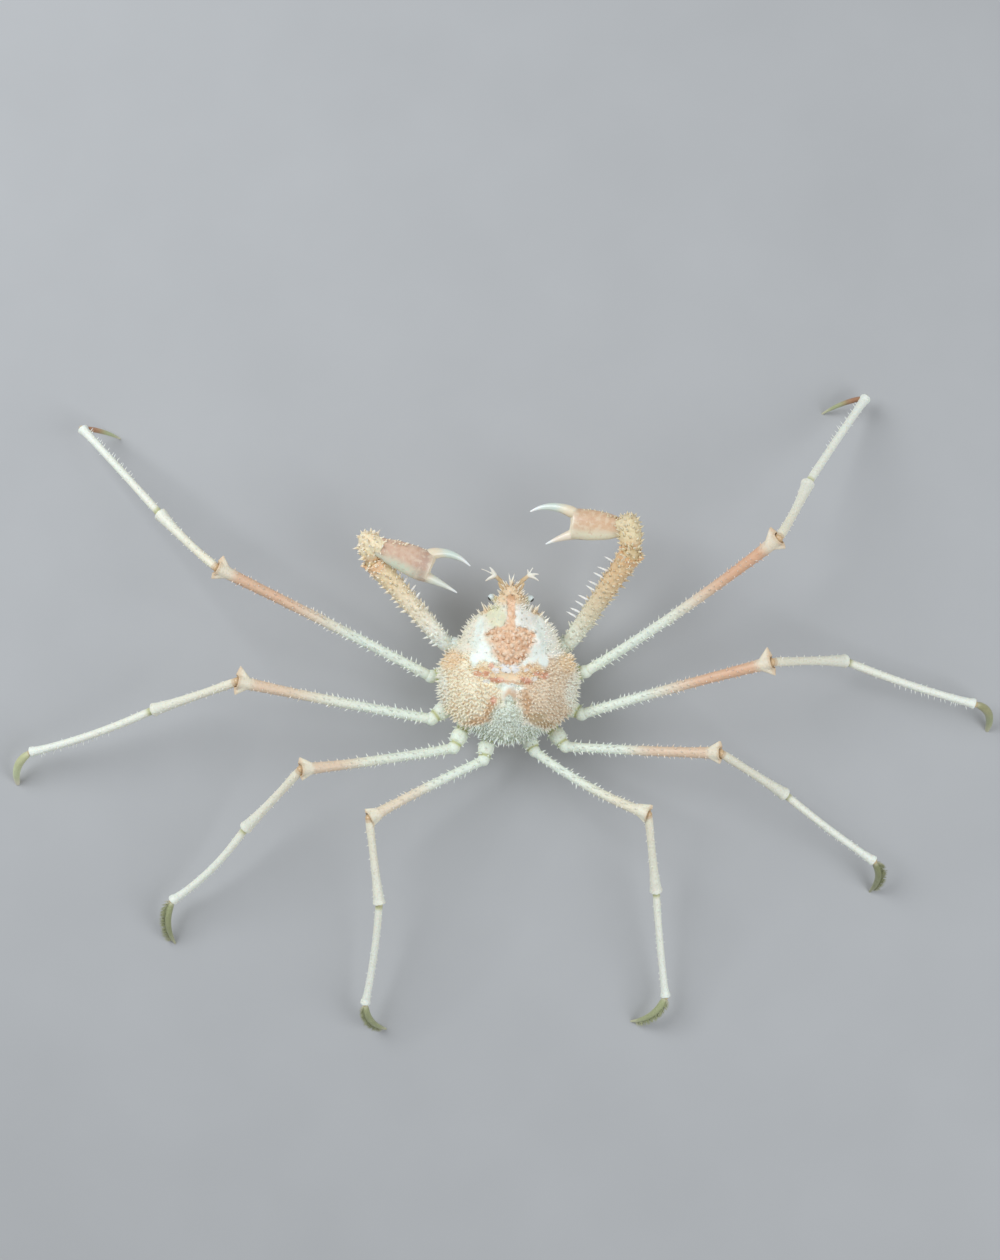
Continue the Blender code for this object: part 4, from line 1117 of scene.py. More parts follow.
# %% Leg finish
def leg_finish():
    leg = Finish("leg", Subsurface_Weight=0.2, IOR=1.5, Coat_Roughness=0.25, **FLESH)
    spot = leg.place()
    reach = leg.channel("reach")
    flush = leg.channel("flush")
    skin_deep = leg.channel("membrane")
    tip = leg.channel("tip")
    cloud = leg.grain(spot, 6.0, detail=4.0, roughness=0.6)
    speck = leg.grain(spot, 0.8, detail=2.0)
    wander = reach + 0.16 * (cloud - 0.5)
    stops = (
        (0.0, ink(234, 240, 220)), (0.08, ink(234, 240, 222)), (0.19, ink(240, 234, 208)),
        (0.27, ink(242, 234, 208)), (0.5, ink(240, 238, 218)), (0.74, ink(242, 244, 228)),
    )
    base = leg.node("ValToRGB", {"stops": stops}, {0: wander / 4})
    warm = leg.mix(cloud, ink(222, 164, 120), ink(232, 192, 160))
    base = leg.mix((flush * (0.75 + 0.5 * cloud)).clipped(), base, warm)
    base = leg.mix(0.35 * leg.step(speck, 0.54, 0.7), base, ink(206, 186, 150))
    knee = leg.step(leg.node("Math", {"operation": "ABSOLUTE"}, {0: reach - 1.015}), 0.035, 0.012)
    base = leg.mix(0.5 * knee * (1 - tip), base, ink(206, 160, 108))
    base = leg.mix(skin_deep, base, leg.mix(speck, ink(164, 168, 92), ink(206, 202, 140)))
    base = leg.mix(0.7 * leg.step(tip, 0.1, 0.9), base, ink(252, 250, 240))
    grit = leg.cells(spot, 0.9)
    height = 0.6 * (1 - grit) + 0.5 * leg.grain(spot, 2.2, detail=3.0)
    return leg.done(base, 0.5 + 0.16 * cloud - 0.1 * tip, 0.12 + 0.1 * flush, height, 0.00035, 0.7)


def toe_finish():
    toe = Finish("toe", Sheen_Weight=0.35, Sheen_Roughness=0.5, IOR=1.45)
    spot = toe.place()
    share = toe.channel("reach")
    cloud = toe.grain(spot, 2.5, detail=4.0)
    nap = toe.grain(spot, 0.35, detail=2.0)
    shade = toe.channel("shade")
    velvet = toe.mix(cloud, ink(194, 202, 146), ink(216, 222, 174))
    # Toes that lie in shadow are darkened by the shade channel: painted shade, which also dims their pale
    # ends.
    velvet = toe.mix(shade, velvet, toe.mix(cloud, ink(112, 114, 70), ink(144, 146, 96)))
    velvet = toe.mix(0.4 * toe.step(nap, 0.45, 0.7), velvet, ink(206, 206, 164))
    velvet = toe.mix(toe.channel("rust"), velvet, toe.mix(cloud, ink(156, 98, 70), ink(192, 138, 104)))
    ends = (0.8 * toe.step(share, 0.12, 0.0)).most((1 - 0.8 * shade) * toe.step(share, 0.66, 1.0))
    base = toe.mix(ends, velvet, ink(226, 218, 186))
    base = toe.mix(0.5 * toe.channel("tip"), base, ink(170, 168, 128))
    return toe.done(base, 0.7 + 0.15 * nap, 0.0, nap, 0.0003, 0.6)


LEG_FINISH = leg_finish()
TOE_FINISH = toe_finish()

# %% [markdown]
# ## Links with cupped ends
# Each long link of a leg ends in a cup, and the next one sits in it like a ball in a socket. On the thigh
# link, the merus, two teeth stand out at the sides of the cup; the others end in a low collar. The link
# is melted first and its cup cut last, so that the rim stays crisp.

# %% Build the legs
MERUS_RADII = (2.35, 2.1, 2.1, 2.1, 2.15, 2.15, 2.2, 2.4, 2.7)
CARPUS_RADII = (1.75, 1.95, 1.85, 1.8, 1.85, 1.95, 2.1, 2.4, 2.5)
PROPODUS_RADII = (1.65, 1.8, 1.75, 1.7, 1.7, 1.7, 1.7, 1.75, 1.95)
# The toe is a blade with a narrow neck; it ends in a point, on the third leg in a blunt tip.
POINTED_TOE = (0.6, 0.98, 1.0, 0.96, 0.88, 0.78, 0.66, 0.5, 0.3)
BLUNT_TOE = (0.5, 0.88, 1.0, 1.0, 0.96, 0.9, 0.82, 0.7, 0.52)
TOE_RADIUS = {2: 1.15, 3: 1.8, 4: 1.55, 5: 1.5}
# How brown the root of the toe is, and how much painted shade darkens its velvet on toes that lie in shadow
TOE_RUST = {2: 0.9, 3: 0.15, 4: 0.0, 5: 0.0}
TOE_SHADE = {
    (2, "l"): 0.3, (2, "r"): 0.5, (3, "l"): 0.0, (3, "r"): 0.7,
    (4, "l"): 0.75, (4, "r"): 1.0, (5, "l"): 0.7, (5, "r"): 0.6,
}
VOXEL = 0.33
# Links between hip and ankle: name, radii, how much wider its cup is than the link, radius of the cup,
# slot, and how strong and how far its near end shows bare skin
LEG_LINKS = (
    ("merus", MERUS_RADII, 0.6, 2.8, "leg", (0.6, 0.0, 0.03)),
    ("carpus", CARPUS_RADII, 0.35, 2.2, "ivory", None),
    ("propodus", PROPODUS_RADII, 0.35, 1.7, "ivory", (0.8, 0.02, 0.07)),
)
# Over what length a link widens to its cup
FLARE_REACH = 3.0
TOOTH_FLATNESS = 0.5
TOOTH_BREADTH = 4.5
TOOTH_BACK = 2.2
TOOTH_LENGTHS = {2: 2.9, 3: 3.7, 4: 2.3, 5: 1.5}
HIND_TOOTH = 0.75
# The collar of a link without teeth: its length, and its girth at both ends as a share of the rim
COLLAR_LENGTH = 1.9
COLLAR_ROOT = 0.96
COLLAR_FLARE = 1.1
# How far beyond the end of a link the middle of its cup lies, as a share of the cup's radius
CUP_OFFSET = 0.4
# How strongly the merus is flushed, from which share of it, and up to which
FLUSH = {
    (2, "l"): (0.85, 0.35, 0.75), (2, "r"): (1.0, 0.4, 0.8), (3, "l"): (0.55, 0.5, 0.8),
    (3, "r"): (0.9, 0.3, 0.7), (4, "l"): (0.5, 0.55, 0.8), (4, "r"): (0.6, 0.35, 0.6),
    (5, "l"): (0.3, 0.45, 0.6), (5, "r"): (0.06, 0.5, 0.8),
}


def smoothed(value, low, high):
    t = np.clip((value - low) / (high - low), 0, 1)
    return t * t * (3 - 2 * t)


def build_link(start, end, bow, radii, girth, flare=0.0, teeth=(), cup=0.0):
    """One link of a limb, melted from its tube and its teeth, cupped at its end.

    The teeth stand left and right of its far end, each given by its length and how far forward it points.
    """
    way = (end - start).normalized()
    points = link_points(start, end, bow)
    path, sizes = round_path(points, [r * girth for r in radii], 60, far_cap=False)
    to_end = np.linalg.norm(path - np.array(end), axis=1)
    sizes = sizes + flare * np.exp(-to_end / FLARE_REACH)
    pieces = [rod(path, sizes)]
    level = UP.cross(way).normalized()
    rim = radii[-1] * girth + flare
    for outer, (length, forward) in zip((level, -level), teeth):
        tip = end + outer * (rim + length) + way * forward
        pieces.append(tooth(end - way * (TOOTH_BACK - forward / 2), tip, TOOTH_BREADTH, TOOTH_FLATNESS, UP))
    if not teeth:
        pieces.append(rod([end - way * COLLAR_LENGTH, end], (rim * COLLAR_ROOT, rim * COLLAR_FLARE)))
    link = melt(pieces, VOXEL)
    if cup:
        hollow(link, end + way * cup * CUP_OFFSET, cup)
    return link, points


def finish_link(link, points, first, name, node, slot, finish, flush=None, membrane=None):
    """Store a link's channels and put it in place."""
    share = shares_along(link, points)
    store(link, "reach", first + share)
    if flush:
        strength, low, high = flush
        paler_end = 1 - 0.8 * smoothed(share, 0.9, 0.955)
        store(link, "flush", strength * smoothed(share, low, high) * paler_end)
    if membrane is not None:
        store(link, "membrane", membrane(share))
    soften(link, 45)
    return put_in_place(link, name, finish, slot, node)


BASE_RADII = (3.4, 3.9, 4.1, 3.7, 3.4, 3.8, 3.8, 3.4, 3.0, 2.9)
# Where the grooves of the base are, as a share of its length, and how deep
BASE_GROOVES = ((0.4, 0.26), (0.86, 0.14))
GROOVE_WIDTH = 0.045


def build_base(root, hip, girth):
    """The two short links at the root of a limb, with a groove between them."""
    radii = [r * girth for r in BASE_RADII]
    points = straight(root, hip)
    path, sizes = round_path(points, radii, 60)
    shares = np.linalg.norm(path - np.array(root), axis=1) / (hip - root).length
    for groove, depth in BASE_GROOVES:
        sizes = sizes * (1 - depth * dip(shares - groove, GROOVE_WIDTH))
    return melt([rod(path, sizes)], VOXEL), points


for (number, side), (_, _, _, bows) in LEG_POSE.items():
    name = f"leg{number}_{side}_"
    girth = LEG_GIRTH[number]
    sign = dict(SIDES)[side]
    root = mirrored(COXA_ROOTS[number], sign)
    joints = leg_joints(number, side)

    base, points = build_base(root, joints[0], girth)
    finish_link(
        base, points, -1.0, name + "base_shell", name + "base", "leg", LEG_FINISH,
        membrane=lambda s: sum(0.9 * dip(s - groove, GROOVE_WIDTH) for groove, _ in BASE_GROOVES)
    )
    teeth = ((TOOTH_LENGTHS[number], 0.0), (TOOTH_LENGTHS[number] * HIND_TOOTH, 0.0))[::sign]
    flush = FLUSH[number, side]
    for first, (part, radii, flare, cup, slot, bare) in enumerate(LEG_LINKS):
        start, end = joints[first : first + 2]
        link, points = build_link(start, end, bows[first], radii, girth, flare, teeth, cup)
        membrane = bare and (lambda s: bare[0] * (1 - smoothed(s, bare[1], bare[2])))
        part = name + part
        finish_link(link, points, first, part + "_shell", part, slot, LEG_FINISH, flush, membrane)
        teeth, flush = (), None

    points = toe_line(joints[3], joints[4], bows[3])
    outline = BLUNT_TOE if number == 3 else POINTED_TOE
    path, sizes = round_path(points, [r * TOE_RADIUS[number] for r in outline], 30)
    toe_piece = rod(path, sizes)
    cut_level(toe_piece, 0.0, keep_above=True)
    rust = TOE_RUST[number] * smoothed(shares_along(toe_piece, points), 0.6, 0.25)
    store(toe_piece, "rust", rust)
    store(toe_piece, "shade", np.full(len(rust), TOE_SHADE[number, side]))
    finish_link(toe_piece, points, 0.0, name + "dactylus_shell", name + "dactylus", "toe", TOE_FINISH)
print("leg pieces done")

# %% [markdown]
# ## Where the claws run
# The two claws are held differently, so each has its own list of joints, measured from the picture. The
# palm is a flattened tube; its fixed thumb and the raised rim between thumb and finger are melted into
# it. The knob of the wrist belongs to the carpus. The opening finger is a piece of its own, set in a
# socket.

# %% Shape the claws
# Hip, knee, far end of the carpus, wrist and far end of the palm
CLAW_POSE = {
    "l": ((-27.6, 14.8, 22), (-58.2, 48.6, 38), (-61, 57.4, 44), (-54.2, 54, 44.5), (-34.8, 46.6, 39.5)),
    "r": ((26.2, 17.4, 22), (49.4, 54.4, 45), (48.9, 67.6, 45), (43.9, 65.8, 43.5), (25.1, 67, 40)),
}
FINGER_PATH = {
    "l": ((-36.5, 51.6, 39.8), (-26.0, 55.5, 38.5), (-17.7, 48.0, 36.5)),
    "r": ((27.0, 70.6, 40.0), (16.0, 76.5, 39.0), (7.1, 71.7, 37.0)),
}
THUMB_PATH = {
    "l": ((-38.0, 43.6, 40.0), (-30.0, 40.6, 38.0), (-22.8, 36.5, 36.0)),
    "r": ((28.5, 63.4, 40.0), (20.5, 61.4, 38.5), (13.9, 58.1, 37.0)),
}
CLAW_MERUS_RADII = (3.4, 3.7, 3.8, 3.8, 3.9, 4.0, 4.1, 4.4, 4.7)
CLAW_CARPUS_RADII = (2.6, 3.8, 4.6, 4.6, 3.7)
CLAW_TEETH = ((1.3, 0.6), (0.9, 2.4))
CROWN_RADII = (4.2, 4.2, 3.5)
PALM_RADII = (4.4, 5.5, 6.1, 6.5, 6.6, 6.5)
PALM_FLATNESS = 0.58
# The rim between thumb and finger, the heel of the thumb off the palm's middle line, the finger's socket
RIM_RADII = (1.5, 1.2, 1.5)
RIM_REACH = 4.6
HEEL_OFFSET = 3.4
FINGER_SOCKET = 2.75
# How orange each palm is, and how flushed each merus along its length; both are flushed at the far end
PALM_WARMTH = {"l": 0.35, "r": 1.0}
EARLY_FLUSH = {"l": 0.0, "r": 0.55}
# How strongly the carpus is flushed, beyond which share of it not at all, and before which in full
CARPUS_FLUSH = (0.9, 0.6, 0.12)
FINGER_RADII = (2.4, 2.5, 2.1, 1.75, 1.35, 0.85, 0.35)
THUMB_RADII = (2.2, 2.9, 3.0, 2.3, 1.6, 0.95, 0.35)


def claw_finish(side, shade_tint):
    claw = Finish("claw_" + side, Subsurface_Weight=0.2, IOR=1.5, Coat_Roughness=0.25, **FLESH)
    spot = claw.place()
    reach = claw.channel("reach")
    flush = claw.channel("flush")
    tip = claw.channel("tip")
    cloud = claw.grain(spot, 4.0, detail=4.0, roughness=0.6)
    scales = claw.cells(spot, 1.3)
    stops = (
        (0.0, ink(226, 232, 214)), (0.25, ink(246, 255, 246)), (0.34, ink(247, 236, 209)),
        (0.45, ink(249, 226, 184)), (0.6, ink(255, 236, 194)), (0.75, ink(251, 233, 194)),
        (0.9, ink(255, 255, 250)),
    )
    base = claw.node("ValToRGB", {"stops": stops}, {0: (reach + 1 + 0.25 * (cloud - 0.5)) / 4})
    warm = claw.mix(cloud, ink(243, 182, 126), ink(251, 215, 172))
    # Pale blotches on the flushed parts: partly the claw's own cream spots, partly painted wet highlights.
    pale_blotch = claw.step(claw.grain(spot, 1.7, detail=3.0), 0.5, 0.62)
    warm = claw.mix(0.55 * pale_blotch, warm, ink(255, 240, 212))
    base = claw.mix((flush * (0.7 + 0.6 * cloud)).clipped(), base, warm)
    # Darker between the scales, where the surface dips: painted shade.
    base = claw.mix(0.2 * claw.step(scales, 0.4, 0.8) * (1 - tip), base, ink(206, 160, 100))
    # Thorns turn pale at their points: partly their own pale points, partly a painted highlight.
    base = claw.mix(0.7 * claw.step(tip, 0.1, 0.9), base, ink(255, 248, 230))
    # Up to the wrist the colour is multiplied by the tint, which is painted shade on the right claw.
    base = claw.mix(1 - claw.step(reach, 2.2, 2.5), base, shade_tint, blend="MULTIPLY")
    height = 0.7 * (1 - scales) + 0.4 * claw.grain(spot, 1.6, detail=3.0)
    return claw.done(base, 0.48 + 0.18 * cloud - 0.1 * tip, 0.15 + 0.1 * flush, height, 0.0005, 0.8)


def palm_finish():
    palm = Finish("palm", Subsurface_Weight=0.2, IOR=1.5, Coat_Roughness=0.15, **FLESH)
    spot = palm.place()
    reach = palm.channel("reach")
    crest = palm.channel("crest")
    rim = palm.channel("rim")
    warmth = palm.channel("flush")
    cloud = palm.grain(spot, 5.0, detail=4.0, roughness=0.6)
    speck = palm.grain(spot, 0.7, detail=2.0)
    height = crest + 0.4 * (cloud - 0.5)
    blush = palm.mix(cloud, ink(218, 176, 152), ink(228, 204, 182))
    orange = palm.mix(cloud, ink(218, 174, 134), ink(226, 196, 160))
    skin = palm.mix(warmth, blush, orange)
    below = palm.mix(warmth, ink(212, 224, 200), ink(236, 228, 196))
    base = palm.mix(palm.step(height, -0.7, -0.1), below, skin)
    base = palm.mix(0.95 * palm.step(reach, 0.5, 1.0) * (1.15 - warmth), base, ink(180, 146, 128))
    blotch = palm.grain(spot, 2.2, detail=2.0)
    base = palm.mix(0.35 * palm.step(speck, 0.52, 0.7), base, ink(230, 202, 170))
    base = palm.mix(0.5 * palm.step(blotch, 0.52, 0.64), base, ink(234, 214, 184))
    base = palm.mix(0.35 * palm.step(blotch, 0.46, 0.34), base, ink(204, 154, 118))
    on_thumb = palm.mix(warmth, ink(220, 232, 216), ink(244, 228, 204))
    base = palm.mix(palm.step(reach, 1.02, 1.3), base, on_thumb)
    base = palm.mix(palm.step(reach, 1.6, 1.95), base, ink(250, 248, 238))
    base = palm.mix(0.85 * rim, base, ink(244, 230, 200))
    grit = 0.5 * speck + 0.5 * palm.grain(spot, 2.2, detail=3.0)
    return palm.done(base, 0.34 + 0.12 * speck, 0.35 + 0.15 * rim, grit, 0.0002, 0.6)


def finger_finish():
    finger = Finish("finger", Subsurface_Weight=0.2, IOR=1.52, Coat_Roughness=0.1, **FLESH)
    spot = finger.place()
    reach = finger.channel("reach")
    cloud = finger.grain(spot, 3.0, detail=4.0)
    streak = finger.grain(spot, 0.6, detail=2.0)
    root = finger.mix(cloud, ink(244, 234, 202), ink(240, 216, 184))
    base = finger.mix(finger.step(reach + 0.2 * (cloud - 0.5), 0.18, 0.5), root, ink(222, 230, 214))
    base = finger.mix(finger.step(reach, 0.6, 0.95), base, ink(252, 250, 242))
    return finger.done(base, 0.26 + 0.14 * streak, 0.5 + 0.1 * cloud, streak, 0.00012, 0.4)


# The right claw gets a darker tint: painted shade, as it lies in shadow.
CLAW_FINISH = {"l": claw_finish("l", ink(255, 255, 255)), "r": claw_finish("r", ink(238, 236, 228))}
PALM_FINISH = palm_finish()
FINGER_FINISH = finger_finish()
for side, sign in SIDES:
    name = f"cheliped_{side}_"
    hip, knee, elbow, wrist, palm_end = (Vector(p) for p in CLAW_POSE[side])
    root = mirrored(COXA_ROOTS[1], sign)

    base, points = build_base(root, hip, 1.05)
    finish_link(base, points, -1.0, name + "base_shell", name + "base", "claw", CLAW_FINISH[side])
    merus, points = build_link(hip, knee, 0.0, CLAW_MERUS_RADII, 1.0, 0.5, CLAW_TEETH[::sign], 3.8)
    share = shares_along(merus, points)
    early = EARLY_FLUSH[side] * smoothed(share, 0.3, 0.9)
    store(merus, "flush", np.maximum(early, 0.95 * smoothed(share, 0.86, 0.97)))
    finish_link(merus, points, 0.0, name + "merus_shell", name + "merus", "claw", CLAW_FINISH[side])

    points = link_points(knee, elbow, 0.0)
    path, sizes = round_path(points, CLAW_CARPUS_RADII, 20)
    crown = ball(elbow.lerp(wrist, 0.25), CROWN_RADII)
    neck = rod([elbow, elbow.lerp(wrist, 0.5), wrist], (3.6, 3.8, 3.4))
    carpus = melt([rod(path, sizes), crown, neck], VOXEL)
    finish = CLAW_FINISH[side]
    finish_link(carpus, points, 1.0, name + "carpus_shell", name + "carpus", "claw", finish, CARPUS_FLUSH)

    palm_way = (palm_end - wrist).normalized()
    across = palm_way.cross(UP).normalized()
    thin = across.cross(palm_way)
    crest = across * sign
    path, sizes = round_path(straight(wrist, palm_end, 7), PALM_RADII, 30, far_cap=False)
    palm = rod(path, sizes, sides=24)
    spots = vertices_of(palm)
    depth = (spots - np.array(wrist)) @ np.array(thin)
    set_vertices(palm, spots - depth[:, None] * np.array(thin) * (1 - PALM_FLATNESS))
    thumb_points = arc(THUMB_PATH[side])
    heel = wrist.lerp(palm_end, 0.4) - crest * HEEL_OFFSET
    thumb = rod(*round_path([heel, *thumb_points], THUMB_RADII, 34))
    rim_ends = [palm_end + crest * s for s in (RIM_REACH, 0.0, -RIM_REACH)]
    rim = rod(*round_path(rim_ends, RIM_RADII, 14))
    palm = melt([palm, thumb, rim], VOXEL, rounds=4)
    finger_points = arc(FINGER_PATH[side])
    hollow(palm, finger_points[0], FINGER_SOCKET)
    spots = vertices_of(palm)
    along = (spots - np.array(wrist)) @ np.array(palm_way) / (palm_end - wrist).length
    beside = (spots - np.array(wrist)) @ np.array(crest) / PALM_RADII[3]
    on_thumb = shares_along(palm, thumb_points)
    reach = np.where((along > 1.0) & (beside < 0.1), 1 + on_thumb, np.minimum(along, 1.0))
    edge = dip(along - 1.03, 0.1) * (beside > -0.8)
    store(palm, "reach", reach)
    store(palm, "crest", beside)
    store(palm, "rim", edge * (np.abs(beside) < 1.0))
    store(palm, "flush", np.full(len(spots), PALM_WARMTH[side]))
    soften(palm, 50)
    put_in_place(palm, name + "palm_shell", PALM_FINISH, "claw", name + "palm")

    finger = melt([rod(*round_path(finger_points, FINGER_RADII, 34))], VOXEL * 0.8)
    finish_link(finger, finger_points, 0.0, name + "finger_shell", name + "finger", "ivory", FINGER_FINISH)
print("claws done")

# %% [markdown]
# ## Thorns of the limbs
# Each limb carries thorns all round, longer and stouter near the body. They are strewn on the surface of
# its tubes like those of the shell, at random but never crowded, and lean a little towards the toe. The
# propodus also has a comb of fine bristles along one side, the toes of the last two pairs of legs have a
# fringe, and the thigh of a claw a row of long, blunt, pale spines on its inner side.

# %% Thorns round every limb
DRAWS_PER_LENGTH = 30
EGG_DRAWS = 1200
# How deep thorns sit in a limb, as a share of its girth, and how much their directions stray
THORN_SEAT = 0.97
ROW_SEAT = 0.95
THORN_STRAY = 0.15
# How much of the bake map's height each link takes
MAP_PER_LINK = 0.19
COMB_LENGTHS = {2: 2.1, 3: 2.0, 4: 1.1, 5: 0.8}
# The last two pairs of toes have a fringe of bristles on their convex side, in rows above each other.
FRINGE_LENGTHS = {4: 2.7, 5: 2.3}
FRINGE_COUNT = 40
FRINGE_RISES = (-0.6, -0.3, 0.0, 0.3, 0.7)
# The long spines inside the thigh of each claw: where they stand, how many, length, radius and lean
LONG_SPINES = {"l": ((0.5, 0.92), 6, 3.8, 0.6, 0.2), "r": ((0.22, 0.84), 9, 5.4, 0.66, -0.12)}


def frame_along(points, share):
    """Place, way, side and upper side of a path at shares of it."""
    path = np.array([tuple(p) for p in points])
    knots = np.concatenate(((0.0,), np.cumsum(np.linalg.norm(np.diff(path, axis=0), axis=1))))
    at = share * knots[-1]
    centre = np.stack([smooth_row(knots, path[:, i], at) for i in range(3)], axis=1)
    before = np.stack([smooth_row(knots, path[:, i], at - 0.4) for i in range(3)], axis=1)
    way = unit(centre - before)
    side = unit(np.cross((0.0, 0.0, 1.0), way))
    return centre, way, side, np.cross(way, side)


def thorns_round(points, radii, spacing, length, radius, first, fade=0.3, span=(0.05, 0.93), lean=0.3):
    """Thorns strewn round a link. Rows: roots, ways, lengths, radii, reach."""
    draws = int(sum((b - a).length for a, b in zip(points, points[1:])) * DRAWS_PER_LENGTH)
    share = span[0] + (span[1] - span[0]) * dice.random(draws)
    turn = dice.random(draws) * 2 * math.pi
    centre, way, side, above = frame_along(points, share)
    out = side * np.cos(turn)[:, None] + above * np.sin(turn)[:, None]
    girth = smooth_row(np.linspace(0, 1, len(radii)), np.array(radii), share)
    roots = centre + out * (girth * THORN_SEAT)[:, None]
    kept = spread(roots, (1.0, 1.0, 1.0), spacing)
    count = len(kept)
    ways = unit(out[kept] + way[kept] * lean + THORN_STRAY * dice.normal(size=(count, 3)))
    shrink = (1 - fade * share[kept]) * (0.55 + 0.75 * dice.random(count))
    widths = radius * (1 - 0.5 * fade * share[kept]) * (0.8 + 0.4 * dice.random(count))
    return roots[kept], ways, length * shrink, widths, first + share[kept], turn[kept]


def thorns_on_egg(centre, radii, spacing, length, radius, reach):
    """Thorns strewn over an egg."""
    outward = unit(dice.normal(size=(EGG_DRAWS, 3)))
    roots = np.array(centre) + outward * np.array(radii) * THORN_SEAT
    kept = spread(roots, (1.0, 1.0, 1.0), spacing)
    count = len(kept)
    ways = unit(outward[kept] + THORN_STRAY * dice.normal(size=(count, 3)))
    lengths = length * (0.6 + 0.7 * dice.random(count))
    turn = np.arctan2(outward[kept, 1], outward[kept, 0]) + math.pi
    reaches = np.full(count, reach) + 0.2 * ways[:, 2]
    return roots[kept], ways, lengths, np.full(count, radius), reaches, turn


def thorn_row(points, radii, span, count, outward, length, radius, first, lean=0.35, uneven=1.0):
    """A row of thorns along one side of a link."""
    share = np.linspace(*span, count) + 0.01 * dice.normal(size=count)
    centre, way, _, _ = frame_along(points, share)
    girth = smooth_row(np.linspace(0, 1, len(radii)), np.array(radii), share)
    out = unit(np.array(outward, dtype=float) + 0.12 * uneven * dice.normal(size=(count, 3)))
    ways = unit(out + way * lean)
    lengths = length * (1 + 0.5 * uneven * (dice.random(count) - 0.6))
    roots = centre + out * girth[:, None] * ROW_SEAT
    return roots, ways, lengths, np.full(count, radius), first + share, share


def grow_thorns(rows, name, finish, slot, flush, widths=HORN_WIDTHS):
    """Make one piece of several rows of thorns."""
    roots, ways, lengths, radii, reach, turn = (np.concatenate([row[i] for row in rows]) for i in range(6))
    turned = MAP_MARGIN + MAP_SPAN * (turn / (2 * math.pi)) % 1.0
    maps = np.stack((turned, MAP_MARGIN + MAP_PER_LINK * (reach + 1)), axis=-1)
    strength, low, high = flush
    on_wrist = 0.35 * (slot == "claw") * (reach > 1.3) * (reach < 2.1)
    red = strength * smoothed(reach, low, high) * np.where(reach < 1, 1.0, on_wrist)
    channels = {"reach": reach, "flush": red}
    piece = horns(name, roots, ways, lengths, radii, np.zeros_like(roots), maps, channels, widths)
    return put_in_place(piece, name, finish, slot)


for (number, side), (_, _, _, bows) in LEG_POSE.items():
    girth = LEG_GIRTH[number]
    sign = dict(SIDES)[side]
    root = mirrored(COXA_ROOTS[number], sign)
    hip, knee, shin, ankle, toe = leg_joints(number, side)
    scaled = [[r * girth for r in row] for row in (MERUS_RADII, CARPUS_RADII, PROPODUS_RADII)]
    starts, ends = (hip, knee, shin), (knee, shin, ankle)
    thigh, fore, shank = (link_points(a, b, bow) for a, b, bow in zip(starts, ends, bows))
    base_line = straight(root, hip)
    comb_side = UP.cross(ankle - shin).normalized() * (sign if number == 2 else -sign) - UP * 0.2
    rows = [
        thorns_round(base_line, [3.5, 3.6, 2.9], 2.2, 1.4, 0.48, -1.0, 0.0, (0.42, 0.88)),
        thorns_round(thigh, scaled[0], 1.95, 2.0, 0.46, 0.0, 0.45, lean=0.5),
        thorns_round(fore, scaled[1], 2.3, 1.0, 0.34, 1.0, 0.2, (0.08, 0.92)),
        thorns_round(shank, scaled[2], 2.6, 0.8, 0.28, 2.0, 0.0, (0.08, 0.93)),
        thorn_row(shank, scaled[2], (0.4, 0.94), 15, comb_side, COMB_LENGTHS[number], 0.28, 2.0),
    ]
    grow_thorns(rows, f"leg{number}_{side}_thorns", LEG_FINISH, "leg", FLUSH[number, side])

    if number in FRINGE_LENGTHS:
        blade = toe_line(ankle, toe, bows[3])
        radii = [r * TOE_RADIUS[number] for r in POINTED_TOE]
        convex = UP.cross(toe - ankle).normalized() * math.copysign(1, bows[3])
        ways = [convex + UP * rise for rise in FRINGE_RISES]
        length = FRINGE_LENGTHS[number]
        rows = [thorn_row(blade, radii, (0.03, 0.9), FRINGE_COUNT, way, length, 0.2, 0.0) for way in ways]
        fringe = grow_thorns(rows, f"leg{number}_{side}_fringe", TOE_FINISH, "toe", (0.0, 0.5, 0.6))
        store(fringe, "shade", np.full(len(fringe.data.vertices), TOE_SHADE[number, side]))

